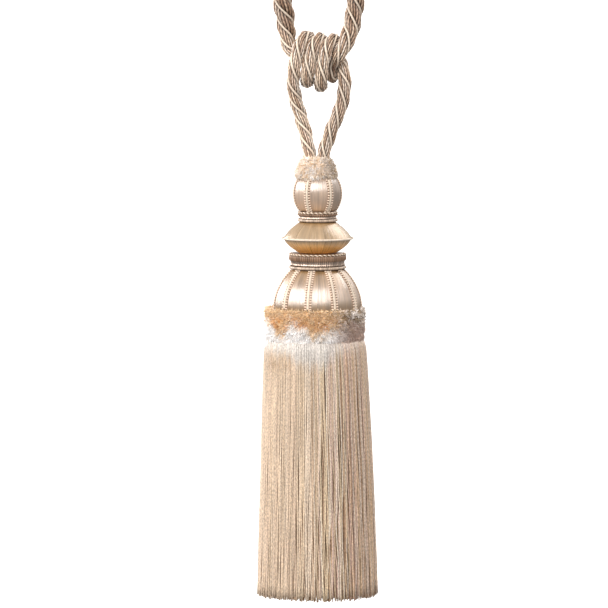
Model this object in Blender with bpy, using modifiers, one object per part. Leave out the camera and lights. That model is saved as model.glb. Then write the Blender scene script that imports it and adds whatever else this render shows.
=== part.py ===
"""A curtain tieback tassel: a corded rope knotted above a turned head that is
covered in satin and braid, with a cut-pile ruff at each end of the head and a
long thread skirt.

Metres, +Z up, the front towards -Y.  The origin is under the crown of the
rope's loop, where the tassel hangs.
"""

import math
import random

import bmesh
import bpy
from mathutils import Vector

MM = 0.001
GAP = 0.3 * MM

# Heights down the axis
HEAD_TOP = -111.5 * MM
BALL_CENTRE = HEAD_TOP - 20.6 * MM
BALL_FOOT = HEAD_TOP - 30.3 * MM
SMALL_RING_FOOT = HEAD_TOP - 36.3 * MM
RIDGE_HEIGHT = HEAD_TOP - 45.7 * MM
SPINDLE_FOOT = HEAD_TOP - 53.8 * MM
LARGE_RING_FOOT = HEAD_TOP - 62.9 * MM
DOME_WIDEST = HEAD_TOP - 84.5 * MM
DOME_FOOT = HEAD_TOP - 89.0 * MM
RUFF_TOP = HEAD_TOP - 84.7 * MM
RUFF_FOOT = HEAD_TOP - 102.4 * MM
HEADING_FOOT = HEAD_TOP - 105.4 * MM
SKIRT_FOOT = HEAD_TOP - 247.4 * MM

# Radii of the turned head
BALL_RADIUS = 13.1 * MM
BALL_HALF_HEIGHT = 14.3 * MM
SMALL_RING_RADIUS = 11.4 * MM
SPINDLE_NECK_RADIUS = 9.6 * MM
SPINDLE_RADIUS = 18.9 * MM
LARGE_RING_RADIUS = 16.2 * MM
DOME_RADIUS = 24.4 * MM
DOME_CURVE_HEIGHT = 27.5 * MM
DOME_ROUNDNESS = 1.8

# Braid ribs
BALL_RIBS = 6
BALL_RIB_TURN = math.radians(-27)
BALL_RIB_WIDTH = 2.3 * MM
DOME_RIBS = 10
DOME_RIB_TURN = math.radians(-13)
DOME_RIB_WIDTH = 3.3 * MM
RIB_THICKNESS = 0.5 * MM
RIB_CROWN = 0.25 * MM

RIB_ROWS = 7
BALL_RIB_TOP = HEAD_TOP - 12.6 * MM
BALL_RIB_FOOT = BALL_FOOT + 0.5 * MM
DOME_RIB_TOP = LARGE_RING_FOOT - 1.0 * MM

# Piping cords round the rings and the spindle's ridge
RING_CORD_RADIUS = 0.85 * MM
RIDGE_CORD_RADIUS = 0.6 * MM
CORD_SEGMENTS = 32
CORD_SIDES = 5

# Depths of the bands wound on each ring, from its top cord to its foot cord
SMALL_RING_BANDS = (0.3 * MM, 0.9 * MM)
LARGE_RING_BANDS = (0.1 * MM, 1.0 * MM, 0.3 * MM)

# Spindle: radius at its foot, the flat that seats the ridge cord, and how far
# its upper side dips and its lower side bulges
SPINDLE_FOOT_RADIUS = 10.3 * MM
RIDGE_HALF_FLAT = 0.5 * MM
SPINDLE_DIP = 0.7 * MM
SPINDLE_BULGE = 0.5 * MM
SPINDLE_ROWS = 4

# Pile ruffs, as (radius, drop from the top) in millimetres on the right side;
# the left side bulges further out
TOP_RUFF_OUTLINE = (
    (0.0, 2.4), (8.2, 2.4), (8.5, 1.8), (9.4, 2.9), (10.3, 5.2), (10.9, 8.2),
    (11.2, 10.4), (11.0, 11.8),
)
TOP_RUFF_BULGE = 2.0 * MM
TOP_RUFF_SKIN = 9.7 * MM
LOW_RUFF_OUTLINE = (
    (25.8, 0.0), (26.5, 2.0), (26.7, 5.0), (26.6, 8.5), (26.4, 12.5),
    (26.2, 16.5), (25.9, 17.7),
)
LOW_RUFF_INSIDE = DOME_RADIUS + 0.5 * MM
LOW_RUFF_BULGE = 3.6 * MM
LOW_RUFF_SKIN = 25.3 * MM
PILE_LUMP = 0.35 * MM

# Skirt
SKIRT_LEAN = -1.5 * MM
HEADING_COLLAR_RADIUS = 22.8 * MM
HEADING_CHAMFER = 0.6 * MM
STRAND_ROOT = 1.2 * MM
STRAND_ROOT_SIZE = 0.74
STRAND_KNEE_SIZE = 0.84
STRAND_SWAY = 0.3 * MM
STRAND_EARLY_END = 2.2 * MM
STRAND_LATE_END = 0.8 * MM
SKIRT_TOP_RADIUS = 27.2 * MM
SKIRT_KNEE_HEIGHT = HEAD_TOP - 128.0 * MM
SKIRT_KNEE_RADIUS = 29.6 * MM
SKIRT_FOOT_RADIUS = 34.2 * MM
# Rings of strands from the outside in: strands in the ring, share of the
# skirt's radius, strand radius at the foot in millimetres
STRAND_RINGS = [
    (72, 0.965, 1.15),
    (54, 0.860, 1.30),
    (36, 0.730, 1.60),
    (24, 0.570, 1.90),
    (14, 0.390, 2.20),
    (6, 0.190, 2.40),
]

# Rope.  Columns of every route table: x, y, z and rope radius in millimetres.
ROPE_STEP = 2.9 * MM
ROPE_LAY = 33.0 * MM
ROPE_PLIES = 3
PLY_CORNERS = ((-60, 0.68), (-26, 0.97), (26, 0.97))
WRAP_RADIUS = 3.35
WRAP_HALF_DEPTH = 7.6
LEFT_LEG = [
    (-4.5, 0.5, -113.45, 3.2), (-4.6, 0.5, -110.5, 3.3), (-7.3, 0.3, -96.3, 3.7),
    (-10.8, -0.8, -84.4, 3.75), (-13.2, -3.2, -74.8, 3.7), (-13.7, -5.8, -66.4, 3.4),
]
# The three even wraps.  Columns: x and z of the low turn before it, x of its
# front, and x and z of its top; the last row is the low turn after them.
WRAPS = [
    (-13.2, -68.0, -11.9, -5.5, -43.6), (-5.9, -69.4, -4.5, 1.8, -44.8),
    (1.9, -71.8, 2.9, 9.3, -45.3), (9.1, -66.4, None, None, None),
]
CROSSING = [
    (8.9, 6.0, -64.6, 3.1), (8.2, 2.8, -67.1, 2.8), (7.5, -0.9, -65.0, 2.3),
    (7.9, -1.1, -61.6, 2.1), (9.9, -2.4, -58.2, 2.2), (11.9, -5.0, -54.9, 3.3),
]
RIGHT_ARM = [
    (14.0, -6.0, -50.6, 4.1), (16.3, -4.6, -45.8, 4.6), (18.3, -2.4, -41.0, 4.9),
    (19.6, -1.0, -35.0, 4.9), (20.7, 0.0, -29.2, 4.9), (21.4, 0.0, -23.0, 5.0),
]
LOOP = [
    (21.9, 0.2, -15.5, 5.0), (18.6, 0.4, -3.6, 4.9), (10.6, 0.3, 3.0, 4.75),
    (0.9, 0.0, 4.75, 4.7), (-8.8, -0.3, 3.0, 4.9), (-16.8, -0.4, -3.6, 5.1),
    (-20.1, -0.2, -15.5, 5.3),
]
LEFT_ARM = [
    (-19.6, 0.5, -23.3, 5.4), (-18.8, 1.2, -29.3, 5.4), (-17.9, 2.2, -35.6, 5.2),
    (-17.2, 3.0, -41.6, 4.8), (-16.9, 2.8, -46.4, 4.1), (-15.6, 1.6, -51.0, 3.6),
]
KNOT_CORE = [
    (-10.6, 0.4, -54.4, 3.3), (-3.5, 0.2, -54.6, 3.3), (3.0, 0.2, -54.4, 3.3),
    (8.6, 1.2, -54.0, 2.7), (12.8, 2.4, -57.0, 2.7),
]
RIGHT_LEG = [
    (14.4, 1.8, -62.0, 3.1), (15.0, 1.2, -67.2, 3.5), (15.1, 0.4, -73.0, 3.75),
    (14.2, 0.1, -78.8, 3.75), (12.6, 0.0, -84.6, 3.75), (7.8, -0.3, -96.3, 3.7),
    (3.2, -0.4, -110.5, 3.2), (3.0, -0.5, -113.45, 3.1),
]


def clear_scene():
    for item in list(bpy.data.objects):
        bpy.data.objects.remove(item, do_unlink=True)


def make_collection(name):
    collection = bpy.data.collections.new(name)
    bpy.context.scene.collection.children.link(collection)
    return collection


def make_material(name, colour, roughness):
    material = bpy.data.materials.new(name)
    material.use_nodes = True
    shader = material.node_tree.nodes["Principled BSDF"]
    shader.inputs["Base Color"].default_value = (*colour, 1.0)
    shader.inputs["Roughness"].default_value = roughness
    shader.inputs["Metallic"].default_value = 0.0
    return material


def add_object(name, data, material=None, collection=None):
    item = bpy.data.objects.new(name, data)
    (collection or PARTS).objects.link(item)
    if material:
        data.materials.append(material)
    return item


def ellipse_radius(height, centre, radius, half_height):
    share = (height - centre) / half_height
    return radius * math.sqrt(max(0.0, 1.0 - share * share))


def ball_radius(height):
    return ellipse_radius(height, BALL_CENTRE, BALL_RADIUS, BALL_HALF_HEIGHT)


def dome_radius(height):
    share = abs(height - DOME_WIDEST) / DOME_CURVE_HEIGHT
    return DOME_RADIUS * (1.0 - share ** DOME_ROUNDNESS) ** (1.0 / DOME_ROUNDNESS)


def turned(name, profile, steps, material, closed=False):
    """Turn a profile of (radius, height) points about the Z axis."""
    mesh = bpy.data.meshes.new(name)
    points = [(radius, 0.0, height) for radius, height in profile]
    edges = [(index, index + 1) for index in range(len(points) - 1)]
    if closed:
        edges.append((len(points) - 1, 0))
    mesh.from_pydata(points, edges, [])
    item = add_object(name, mesh, material)
    screw = item.modifiers.new("Turn", "SCREW")
    screw.axis = "Z"
    screw.angle = math.tau
    screw.steps = steps
    screw.render_steps = steps
    screw.use_merge_vertices = True
    screw.merge_threshold = 0.00001
    screw.use_smooth_shade = True
    return item


def settle_mesh(item):
    """Replace an object's data by the mesh that its modifiers make."""
    graph = bpy.context.evaluated_depsgraph_get()
    mesh = bpy.data.meshes.new_from_object(item.evaluated_get(graph))
    item.modifiers.clear()
    item.data = mesh
    return item


def curve_to_mesh(item):
    """Turn a curve object into a mesh object whose caps are welded."""
    graph = bpy.context.evaluated_depsgraph_get()
    mesh = bpy.data.meshes.new_from_object(item.evaluated_get(graph))
    shape = bmesh.new()
    shape.from_mesh(mesh)
    bmesh.ops.remove_doubles(shape, verts=shape.verts, dist=0.00001)
    bmesh.ops.recalc_face_normals(shape, faces=shape.faces)
    shape.to_mesh(mesh)
    shape.free()
    result = bpy.data.objects.new(item.name, mesh)
    result.matrix_world = item.matrix_world
    bpy.data.objects.remove(item, do_unlink=True)
    return result


# ---------------------------------------------------------------- rope

def wrap_points():
    """The knot's even wraps: up each front to the right, then straight down the back."""
    points = []
    for index, (wrap, after) in enumerate(zip(WRAPS, WRAPS[1:])):
        low_x, low_z, front, top_x, top_z = wrap
        next_x, next_z = after[:2]
        first = 90 if index == 0 else 0
        last = 270 if index == len(WRAPS) - 2 else 315
        for degrees in range(first, last + 1, 45):
            turn = math.radians(degrees)
            s = degrees / 180
            rising = low_x * (2 * s - 1) * (s - 1) + front * 4 * s * (1 - s) + top_x * s * (2 * s - 1)
            x = rising if s <= 1 else top_x + (next_x - top_x) * (s - 1)
            side, rise = math.sin(turn), -math.cos(turn)
            y = -WRAP_HALF_DEPTH * math.copysign(abs(side) ** 0.75, side)
            bottom = low_z if s <= 1 else next_z
            z = (top_z + bottom) / 2 + (top_z - bottom) / 2 * math.copysign(abs(rise) ** 0.9, rise)
            points.append((x, y, z, WRAP_RADIUS))
    return points


def route_points():
    table = LEFT_LEG + wrap_points() + CROSSING + RIGHT_ARM
    table += LOOP + LEFT_ARM + KNOT_CORE + RIGHT_LEG
    return [Vector(row) * MM for row in table]


def smooth_through(points, samples=12):
    """Centripetal Catmull-Rom curve through the points, radius included."""
    ends = [points[0] * 2 - points[1]] + points + [points[-1] * 2 - points[-2]]
    curve = []
    for before, start, end, after in zip(ends, ends[1:], ends[2:], ends[3:]):
        t1 = math.sqrt((start - before).xyz.length)
        t2 = t1 + math.sqrt((end - start).xyz.length)
        t3 = t2 + math.sqrt((after - end).xyz.length)
        for step in range(samples):
            t = t1 + (t2 - t1) * step / samples
            a1 = before.lerp(start, t / t1)
            a2 = start.lerp(end, (t - t1) / (t2 - t1))
            a3 = end.lerp(after, (t - t2) / (t3 - t2))
            b1 = a1.lerp(a2, t / t2)
            b2 = a2.lerp(a3, (t - t1) / (t3 - t1))
            curve.append(b1.lerp(b2, (t - t1) / (t2 - t1)))
    return curve + [points[-1].copy()]


def even_steps(curve, spacing):
    """Points at even arc length along a dense polyline."""
    lengths = [0.0]
    for start, end in zip(curve, curve[1:]):
        lengths.append(lengths[-1] + (end - start).xyz.length)
    count = round(lengths[-1] / spacing)
    points = []
    index = 0
    for step in range(count + 1):
        target = lengths[-1] * step / count
        while index < len(curve) - 2 and lengths[index + 1] < target:
            index += 1
        share = (target - lengths[index]) / (lengths[index + 1] - lengths[index])
        points.append(curve[index].lerp(curve[index + 1], min(1.0, share)))
    return points


def ply_section(name):
    """Cross-section of the laid rope, of unit radius: a groove between plies."""
    section = bpy.data.curves.new(name, "CURVE")
    section.dimensions = "2D"
    spline = section.splines.new("POLY")
    corners = len(PLY_CORNERS)
    spline.points.add(corners * ROPE_PLIES - 1)
    for ply in range(ROPE_PLIES):
        middle = math.tau * ply / ROPE_PLIES
        for corner, (degrees, radius) in enumerate(PLY_CORNERS):
            turn = -middle - math.radians(degrees)
            place = (radius * math.cos(turn), radius * math.sin(turn), 0.0, 1.0)
            spline.points[corners * ply + corner].co = place
    spline.use_cyclic_u = True
    item = add_object(name, section, collection=GUIDES)
    item.hide_render = True
    item.display_type = "WIRE"
    return item


def make_rope(material):
    path = even_steps(smooth_through(route_points()), ROPE_STEP)
    curve = bpy.data.curves.new("rope", "CURVE")
    curve.dimensions = "3D"
    curve.bevel_mode = "OBJECT"
    curve.bevel_object = ply_section("rope_section")
    curve.use_fill_caps = True
    spline = curve.splines.new("POLY")
    spline.points.add(len(path) - 1)
    for index, place in enumerate(path):
        point = spline.points[index]
        point.co = (*place.xyz, 1.0)
        point.radius = place.w
        point.tilt = -math.tau * index * ROPE_STEP / ROPE_LAY
    return add_object("rope", curve, material)


# ---------------------------------------------------------------- head

def make_ball(material):
    rows = 9
    top = BALL_CENTRE + BALL_HALF_HEIGHT
    end_turn = math.acos((BALL_FOOT - BALL_CENTRE) / BALL_HALF_HEIGHT)
    profile = [(0.0, top)]
    for row in range(1, rows + 1):
        turn = end_turn * row / rows
        height = BALL_CENTRE + BALL_HALF_HEIGHT * math.cos(turn)
        profile.append((BALL_RADIUS * math.sin(turn), height))
    profile.append((0.0, BALL_FOOT))
    return turned("ball", profile, 24, material)


def make_rib(name, radius_at, heights, turn, width, material):
    """A strip of braid that follows a turned surface down one meridian."""
    mesh = bpy.data.meshes.new(name)
    shape = bmesh.new()
    rows = []
    for height in heights:
        nudge = 0.0002
        slope = (radius_at(height + nudge) - radius_at(height - nudge)) / (2 * nudge)
        normal = Vector((1.0, 0.0, -slope)).normalized()
        seat = Vector((radius_at(height), 0.0, height))
        row = []
        for side in (-1, 0, 1):
            lift = GAP + RIB_THICKNESS + (RIB_CROWN if side == 0 else 0.0)
            place = seat + normal * lift
            place.y = side * width / 2
            row.append(shape.verts.new(place))
        rows.append(row)
    for upper, lower in zip(rows, rows[1:]):
        for side in range(2):
            corners = (upper[side], lower[side], lower[side + 1], upper[side + 1])
            shape.faces.new(corners)
    shape.to_mesh(mesh)
    shape.free()
    item = add_object(name, mesh, material)
    item.rotation_euler.z = turn - math.pi / 2
    solid = item.modifiers.new("Braid", "SOLIDIFY")
    solid.thickness = RIB_THICKNESS
    solid.offset = -1.0
    return item


def make_ribs(material):
    dome_foot = RUFF_TOP + GAP
    sets = (
        ("ball", BALL_RIBS, ball_radius, BALL_RIB_TOP, BALL_RIB_FOOT, BALL_RIB_TURN, BALL_RIB_WIDTH),
        ("dome", DOME_RIBS, dome_radius, DOME_RIB_TOP, dome_foot, DOME_RIB_TURN, DOME_RIB_WIDTH),
    )
    for form, count, radius_at, top, foot, first_turn, width in sets:
        heights = [top + (foot - top) * (row / RIB_ROWS) ** 1.15 for row in range(RIB_ROWS + 1)]
        for index in range(count):
            turn = first_turn + math.tau * index / count
            make_rib(f"{form}_rib_{index + 1}", radius_at, heights, turn, width, material)


def make_banded_ring(name, top, foot, radius, bands, material):
    """A wound disc with a cord seat at each rim and sunken bands between them."""
    seat = 2 * RING_CORD_RADIUS + GAP
    inner = radius - 2 * RING_CORD_RADIUS - GAP
    profile = [(0.0, top), (inner, top), (inner, top - seat)]
    band_top = top - seat
    band_foot = foot + seat
    count = len(bands)
    for index, depth in enumerate(bands):
        upper = band_top + (band_foot - band_top) * index / count
        lower = band_top + (band_foot - band_top) * (index + 1) / count
        profile.append((radius - depth, upper))
        profile.append((radius - depth, lower))
    profile += [(inner, band_foot), (inner, foot), (0.0, foot)]
    return turned(name, profile, 28, material)


def make_cord_ring(name, height, radius, cord_radius, material):
    bpy.ops.mesh.primitive_torus_add(
        major_segments=CORD_SEGMENTS, minor_segments=CORD_SIDES,
        major_radius=radius, minor_radius=cord_radius,
        location=(0.0, 0.0, height))
    item = bpy.context.object
    item.name = name
    item.data.name = name
    for holder in list(item.users_collection):
        holder.objects.unlink(item)
    PARTS.objects.link(item)
    item.data.materials.append(material)
    item.data.shade_smooth()
    return item


def make_rings(band_material, cord_material):
    rings = (
        ("small", BALL_FOOT - GAP, SMALL_RING_FOOT, SMALL_RING_RADIUS, SMALL_RING_BANDS),
        ("large", SPINDLE_FOOT - GAP, LARGE_RING_FOOT, LARGE_RING_RADIUS, LARGE_RING_BANDS),
    )
    for size, top, foot, radius, bands in rings:
        make_banded_ring(f"ring_{size}", top, foot, radius, bands, band_material)
        round_radius = radius - RING_CORD_RADIUS
        for end, height in (("top", top - RING_CORD_RADIUS), ("foot", foot + RING_CORD_RADIUS)):
            name = f"ring_{size}_cord_{end}"
            make_cord_ring(name, height, round_radius, RING_CORD_RADIUS, cord_material)


def make_spindle(satin_material, cord_material):
    top = SMALL_RING_FOOT - GAP
    ridge_top = RIDGE_HEIGHT + RIDGE_HALF_FLAT
    ridge_foot = RIDGE_HEIGHT - RIDGE_HALF_FLAT
    profile = [(0.0, top)]
    for row in range(SPINDLE_ROWS + 1):
        share = row / SPINDLE_ROWS
        radius = SPINDLE_NECK_RADIUS + (SPINDLE_RADIUS - SPINDLE_NECK_RADIUS) * share
        radius -= SPINDLE_DIP * math.sin(math.pi * share)
        profile.append((radius, top + (ridge_top - top) * share))
    for row in range(SPINDLE_ROWS + 1):
        share = row / SPINDLE_ROWS
        radius = SPINDLE_RADIUS + (SPINDLE_FOOT_RADIUS - SPINDLE_RADIUS) * share
        radius += SPINDLE_BULGE * math.sin(math.pi * share)
        profile.append((radius, ridge_foot + (SPINDLE_FOOT - ridge_foot) * share))
    profile.append((0.0, SPINDLE_FOOT))
    turned("spindle", profile, 32, satin_material)
    ridge_radius = SPINDLE_RADIUS + GAP + RIDGE_CORD_RADIUS
    make_cord_ring("spindle_cord", RIDGE_HEIGHT, ridge_radius, RIDGE_CORD_RADIUS, cord_material)


def make_dome(material):
    top = LARGE_RING_FOOT - GAP
    rows = 8
    profile = [(0.0, top)]
    for row in range(rows + 1):
        height = top + (DOME_FOOT - top) * (row / rows) ** 1.2
        profile.append((dome_radius(height), height))
    profile.append((0.0, DOME_FOOT))
    return turned("dome", profile, 36, material)


# ---------------------------------------------------------------- ruffs

def lump(turn, height):
    """A soft unevenness of cut pile, without a seam."""
    swell = math.sin(7 * turn + 900 * height) + 0.7 * math.sin(13 * turn - 1400 * height)
    return PILE_LUMP * 0.5 * swell


def roughen(ruff, skin_radius, bulge):
    """Push a ruff's outer skin in and out, and let it bulge on the left."""
    for vertex in ruff.data.vertices:
        place = vertex.co
        radius = math.hypot(place.x, place.y)
        if radius < skin_radius:
            continue
        turn = math.atan2(place.y, place.x)
        leftward = 0.5 * (1.0 - math.cos(turn))
        wanted = radius + bulge * leftward + lump(turn, place.z)
        place.x *= wanted / radius
        place.y *= wanted / radius
    return ruff


def make_top_ruff(material):
    section = [(radius * MM, HEAD_TOP - drop * MM) for radius, drop in TOP_RUFF_OUTLINE]
    for share in (0.73, 0.56, 0.37, 0.18):
        height = BALL_CENTRE + BALL_HALF_HEIGHT * math.sqrt(1 - share * share)
        section.append((share * BALL_RADIUS, height + 1.8 * GAP))
    section.append((0.0, BALL_CENTRE + BALL_HALF_HEIGHT + GAP))
    ruff = settle_mesh(turned("ruff_top", section, 32, material))
    return roughen(ruff, TOP_RUFF_SKIN, TOP_RUFF_BULGE)


def make_low_ruff(material):
    section = [(LOW_RUFF_INSIDE, RUFF_TOP)]
    section += [(radius * MM, RUFF_TOP - drop * MM) for radius, drop in LOW_RUFF_OUTLINE]
    section.append((LOW_RUFF_INSIDE, RUFF_FOOT))
    ruff = settle_mesh(turned("ruff_low", section, 44, material, closed=True))
    return roughen(ruff, LOW_RUFF_SKIN, LOW_RUFF_BULGE)


# ---------------------------------------------------------------- skirt

def skirt_radius(height):
    if height > SKIRT_KNEE_HEIGHT:
        share = (HEADING_FOOT - height) / (HEADING_FOOT - SKIRT_KNEE_HEIGHT)
        return SKIRT_TOP_RADIUS + (SKIRT_KNEE_RADIUS - SKIRT_TOP_RADIUS) * share
    share = (SKIRT_KNEE_HEIGHT - height) / (SKIRT_KNEE_HEIGHT - SKIRT_FOOT)
    return SKIRT_KNEE_RADIUS + (SKIRT_FOOT_RADIUS - SKIRT_KNEE_RADIUS) * share


def make_heading(material):
    """The fringe's wound heading: a collar under the dome and a wider foot."""
    top = DOME_FOOT - GAP
    step = RUFF_FOOT - GAP
    profile = [
        (0.0, top), (HEADING_COLLAR_RADIUS, top), (HEADING_COLLAR_RADIUS, step),
        (SKIRT_TOP_RADIUS - HEADING_CHAMFER, step),
        (SKIRT_TOP_RADIUS, step - HEADING_CHAMFER),
        (SKIRT_TOP_RADIUS, HEADING_FOOT), (0.0, HEADING_FOOT),
    ]
    heading = settle_mesh(turned("heading", profile, 48, material))
    for vertex in heading.data.vertices:
        if vertex.co.z < step + 0.5 * GAP:
            vertex.co.x += SKIRT_LEAN
    return heading


def make_strands():
    """Every strand of the skirt, as one curve of square-sectioned threads."""
    chance = random.Random(7)
    curve = bpy.data.curves.new("strands", "CURVE")
    curve.dimensions = "3D"
    curve.bevel_depth = 1.0
    curve.bevel_resolution = 0
    curve.use_fill_caps = True
    root = HEADING_FOOT + STRAND_ROOT
    for ring, (count, share, thickness) in enumerate(STRAND_RINGS):
        for index in range(count):
            turn = math.tau * (index + 0.5 * (ring % 2)) / count
            foot = SKIRT_FOOT + chance.uniform(-STRAND_LATE_END, STRAND_EARLY_END)
            sway = chance.uniform(-STRAND_SWAY, STRAND_SWAY)
            stations = (
                (root, STRAND_ROOT_SIZE),
                (SKIRT_KNEE_HEIGHT, STRAND_KNEE_SIZE),
                (foot, 1.0),
            )
            spline = curve.splines.new("POLY")
            spline.points.add(len(stations) - 1)
            for point, (height, size) in zip(spline.points, stations):
                radius = skirt_radius(min(height, HEADING_FOOT)) * share
                lean = SKIRT_LEAN * (height - SKIRT_FOOT) / (HEADING_FOOT - SKIRT_FOOT)
                drift = sway * size * size
                x = lean + radius * math.cos(turn) - drift * math.sin(turn)
                y = radius * math.sin(turn) + drift * math.cos(turn)
                point.co = (x, y, height, 1.0)
                point.radius = thickness * MM * size
                point.tilt = turn
    return add_object("strands", curve, collection=GUIDES)


def make_skirt(material):
    heading = make_heading(material)
    strands = curve_to_mesh(make_strands())
    GUIDES.objects.link(strands)
    strands.hide_render = True
    strands.display_type = "WIRE"
    heading.name = "skirt"
    heading.data.name = "skirt"
    union = heading.modifiers.new("Roots", "BOOLEAN")
    union.operation = "UNION"
    union.object = strands
    return heading


clear_scene()
PARTS = make_collection("curtain_tieback_tassel")
GUIDES = make_collection("cutters")

ROPE_YARN = make_material("rope_yarn", (0.45, 0.35, 0.25), 0.65)
SATIN = make_material("satin_thread", (0.72, 0.60, 0.46), 0.35)
BRAID = make_material("cream_braid", (0.86, 0.78, 0.64), 0.6)
BAND = make_material("ring_thread", (0.42, 0.32, 0.22), 0.45)
PIPING = make_material("satin_cord", (0.84, 0.75, 0.64), 0.4)
PILE = make_material("cut_pile", (0.72, 0.54, 0.33), 0.9)
FRINGE = make_material("skirt_thread", (0.74, 0.62, 0.48), 0.55)

make_rope(ROPE_YARN)
make_top_ruff(PILE)
make_ball(SATIN)
make_ribs(BRAID)
make_rings(BAND, PIPING)
make_spindle(SATIN, PIPING)
make_dome(SATIN)
make_low_ruff(PILE)
make_skirt(FRINGE)
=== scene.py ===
"""Looks of the curtain tieback tassel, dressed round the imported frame.

Metres, +Z up, the front towards -Y, the axis on Z.  Every piece is skinned from
rings of points: laid rope, thread-wound satin, braid, twisted piping, cut pile
and the long thread skirt.  A turn is an angle from the front, positive to the
right, and a drop is a distance downwards.
"""

import math

import bpy
import numpy as np
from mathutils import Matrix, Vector


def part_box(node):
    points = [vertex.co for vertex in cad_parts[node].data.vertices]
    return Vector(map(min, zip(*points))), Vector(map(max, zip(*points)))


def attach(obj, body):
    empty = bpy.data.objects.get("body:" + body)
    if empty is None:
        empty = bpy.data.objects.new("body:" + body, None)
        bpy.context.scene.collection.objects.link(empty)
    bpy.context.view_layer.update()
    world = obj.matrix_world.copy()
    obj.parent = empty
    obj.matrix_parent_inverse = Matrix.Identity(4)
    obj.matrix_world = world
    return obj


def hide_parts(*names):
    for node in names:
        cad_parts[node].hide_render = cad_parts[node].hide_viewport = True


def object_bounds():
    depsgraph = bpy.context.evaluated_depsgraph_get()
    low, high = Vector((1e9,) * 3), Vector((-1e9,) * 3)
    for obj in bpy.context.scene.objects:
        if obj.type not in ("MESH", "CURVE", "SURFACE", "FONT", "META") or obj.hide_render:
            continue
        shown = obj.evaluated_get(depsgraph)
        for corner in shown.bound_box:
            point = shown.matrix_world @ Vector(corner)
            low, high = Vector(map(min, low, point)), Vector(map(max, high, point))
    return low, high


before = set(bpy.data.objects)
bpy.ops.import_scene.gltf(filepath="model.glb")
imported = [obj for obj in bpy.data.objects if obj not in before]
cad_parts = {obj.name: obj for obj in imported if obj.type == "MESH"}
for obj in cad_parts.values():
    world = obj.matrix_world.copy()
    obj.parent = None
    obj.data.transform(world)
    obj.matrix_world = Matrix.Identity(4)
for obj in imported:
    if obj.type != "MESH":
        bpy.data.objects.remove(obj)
CAD_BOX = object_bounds()

MM = 0.001
BODY = "root"
UP = np.array((0.0, 0.0, 1.0))

# Heights and radii that the looks share with the frame
HEAD_TOP = -111.5 * MM
BALL_HALF_HEIGHT = 14.3 * MM
DOME_CURVE_HEIGHT = 27.5 * MM
DOME_ROUNDNESS = 1.8
DOME_WIDEST = HEAD_TOP - 84.5 * MM
RUFF_TOP = HEAD_TOP - 84.7 * MM
RUFF_FOOT = HEAD_TOP - 102.4 * MM
SKIRT_FOOT = HEAD_TOP - 247.4 * MM
SKIRT_NECK = 24.6 * MM
SKIRT_LEAN = -1.5 * MM

# Camera: how far off, how far above the horizon, and the real width that the
# picture covers at the tassel
CAMERA_DISTANCE = 2.8
CAMERA_ELEVATION = math.radians(4.8)
CAMERA_NEAREST = 0.05
PICTURE_WIDTH = 0.343
PICTURE_CENTRE = Vector((-7.67 * MM, 0.0, -194.5 * MM))

# Studio: strength of the surroundings below and above, the heights between which
# it changes, and the lights: name, azimuth, elevation, strength and spread
SKY = (0.42, 0.60)
SKY_CHANGE = (-0.5, 0.4)
LIGHT_COLOUR = (1.0, 0.985, 0.97)
LIGHTS = (
    ("rear_left", -132.0, 12.0, 1.4, 26.0), ("side", -84.0, 21.0, 1.4, 30.0),
    ("key", -38.0, 28.0, 2.0, 34.0), ("front", 4.0, 31.0, 1.3, 36.0),
    ("fill", 46.0, 30.0, 0.3, 36.0), ("rear_right", 129.0, 43.0, 1.8, 44.0),
    ("low_right", 126.0, 12.0, 0.2, 26.0),
)

# The floor: flat round the tassel, then rising past the top of the picture
FLOOR_DROP = 0.14
FLOOR_FLAT = 6.0
FLOOR_RADIUS = 70.0
FLOOR_RISE = 14.0
FLOOR_SIDES = 96
FLOOR_PAINT = ((0.93, 0.93, 0.925, 1.0), (0.95, 0.95, 0.945, 1.0))


# ---- small helpers

def unit(vectors):
    return vectors / np.maximum(np.linalg.norm(vectors, axis=-1, keepdims=True), 1e-12)


def clipped(values):
    return np.clip(values, 0.0, 1.0)


def ramp(values, start, steepness):
    """From 0 at the start up to 1."""
    return clipped((values - start) * steepness)


def fading(values, softness):
    """From 1 down to 0 as the values pass 0."""
    return 1.0 / (1.0 + np.exp(values / softness))


def mixed(first, second, share):
    return first + (second - first) * share


def away_at(turn):
    """Unit vectors away from the axis."""
    return np.stack((np.sin(turn), -np.cos(turn), 0.0 * turn), axis=-1)


def beside_at(turn):
    """Unit vectors round the axis, to the right."""
    return np.stack((np.cos(turn), np.sin(turn), 0.0 * turn), axis=-1)


def even_turns(count):
    return np.linspace(0.0, math.tau, count, endpoint=False)


def run_along(points):
    """Length of the line through a row of points, up to each of them."""
    gaps = np.linalg.norm(np.diff(points, axis=0), axis=1)
    return np.concatenate(([0.0], np.cumsum(gaps)))


def placed(name, data):
    item = bpy.data.objects.new(name, data)
    bpy.context.scene.collection.objects.link(item)
    return item


# ---- rope's route

# Columns of every route table: x, y, z and rope radius in millimetres.
ROPE_LAY = 33.0 * MM
LEFT_LEG = [
    (-4.5, 0.5, -113.45, 3.2), (-4.6, 0.5, -110.5, 3.3), (-7.3, 0.3, -96.3, 3.7),
    (-10.8, -0.8, -84.4, 3.75), (-13.2, -3.2, -74.8, 3.7), (-13.7, -5.8, -66.4, 3.4),
]
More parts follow.
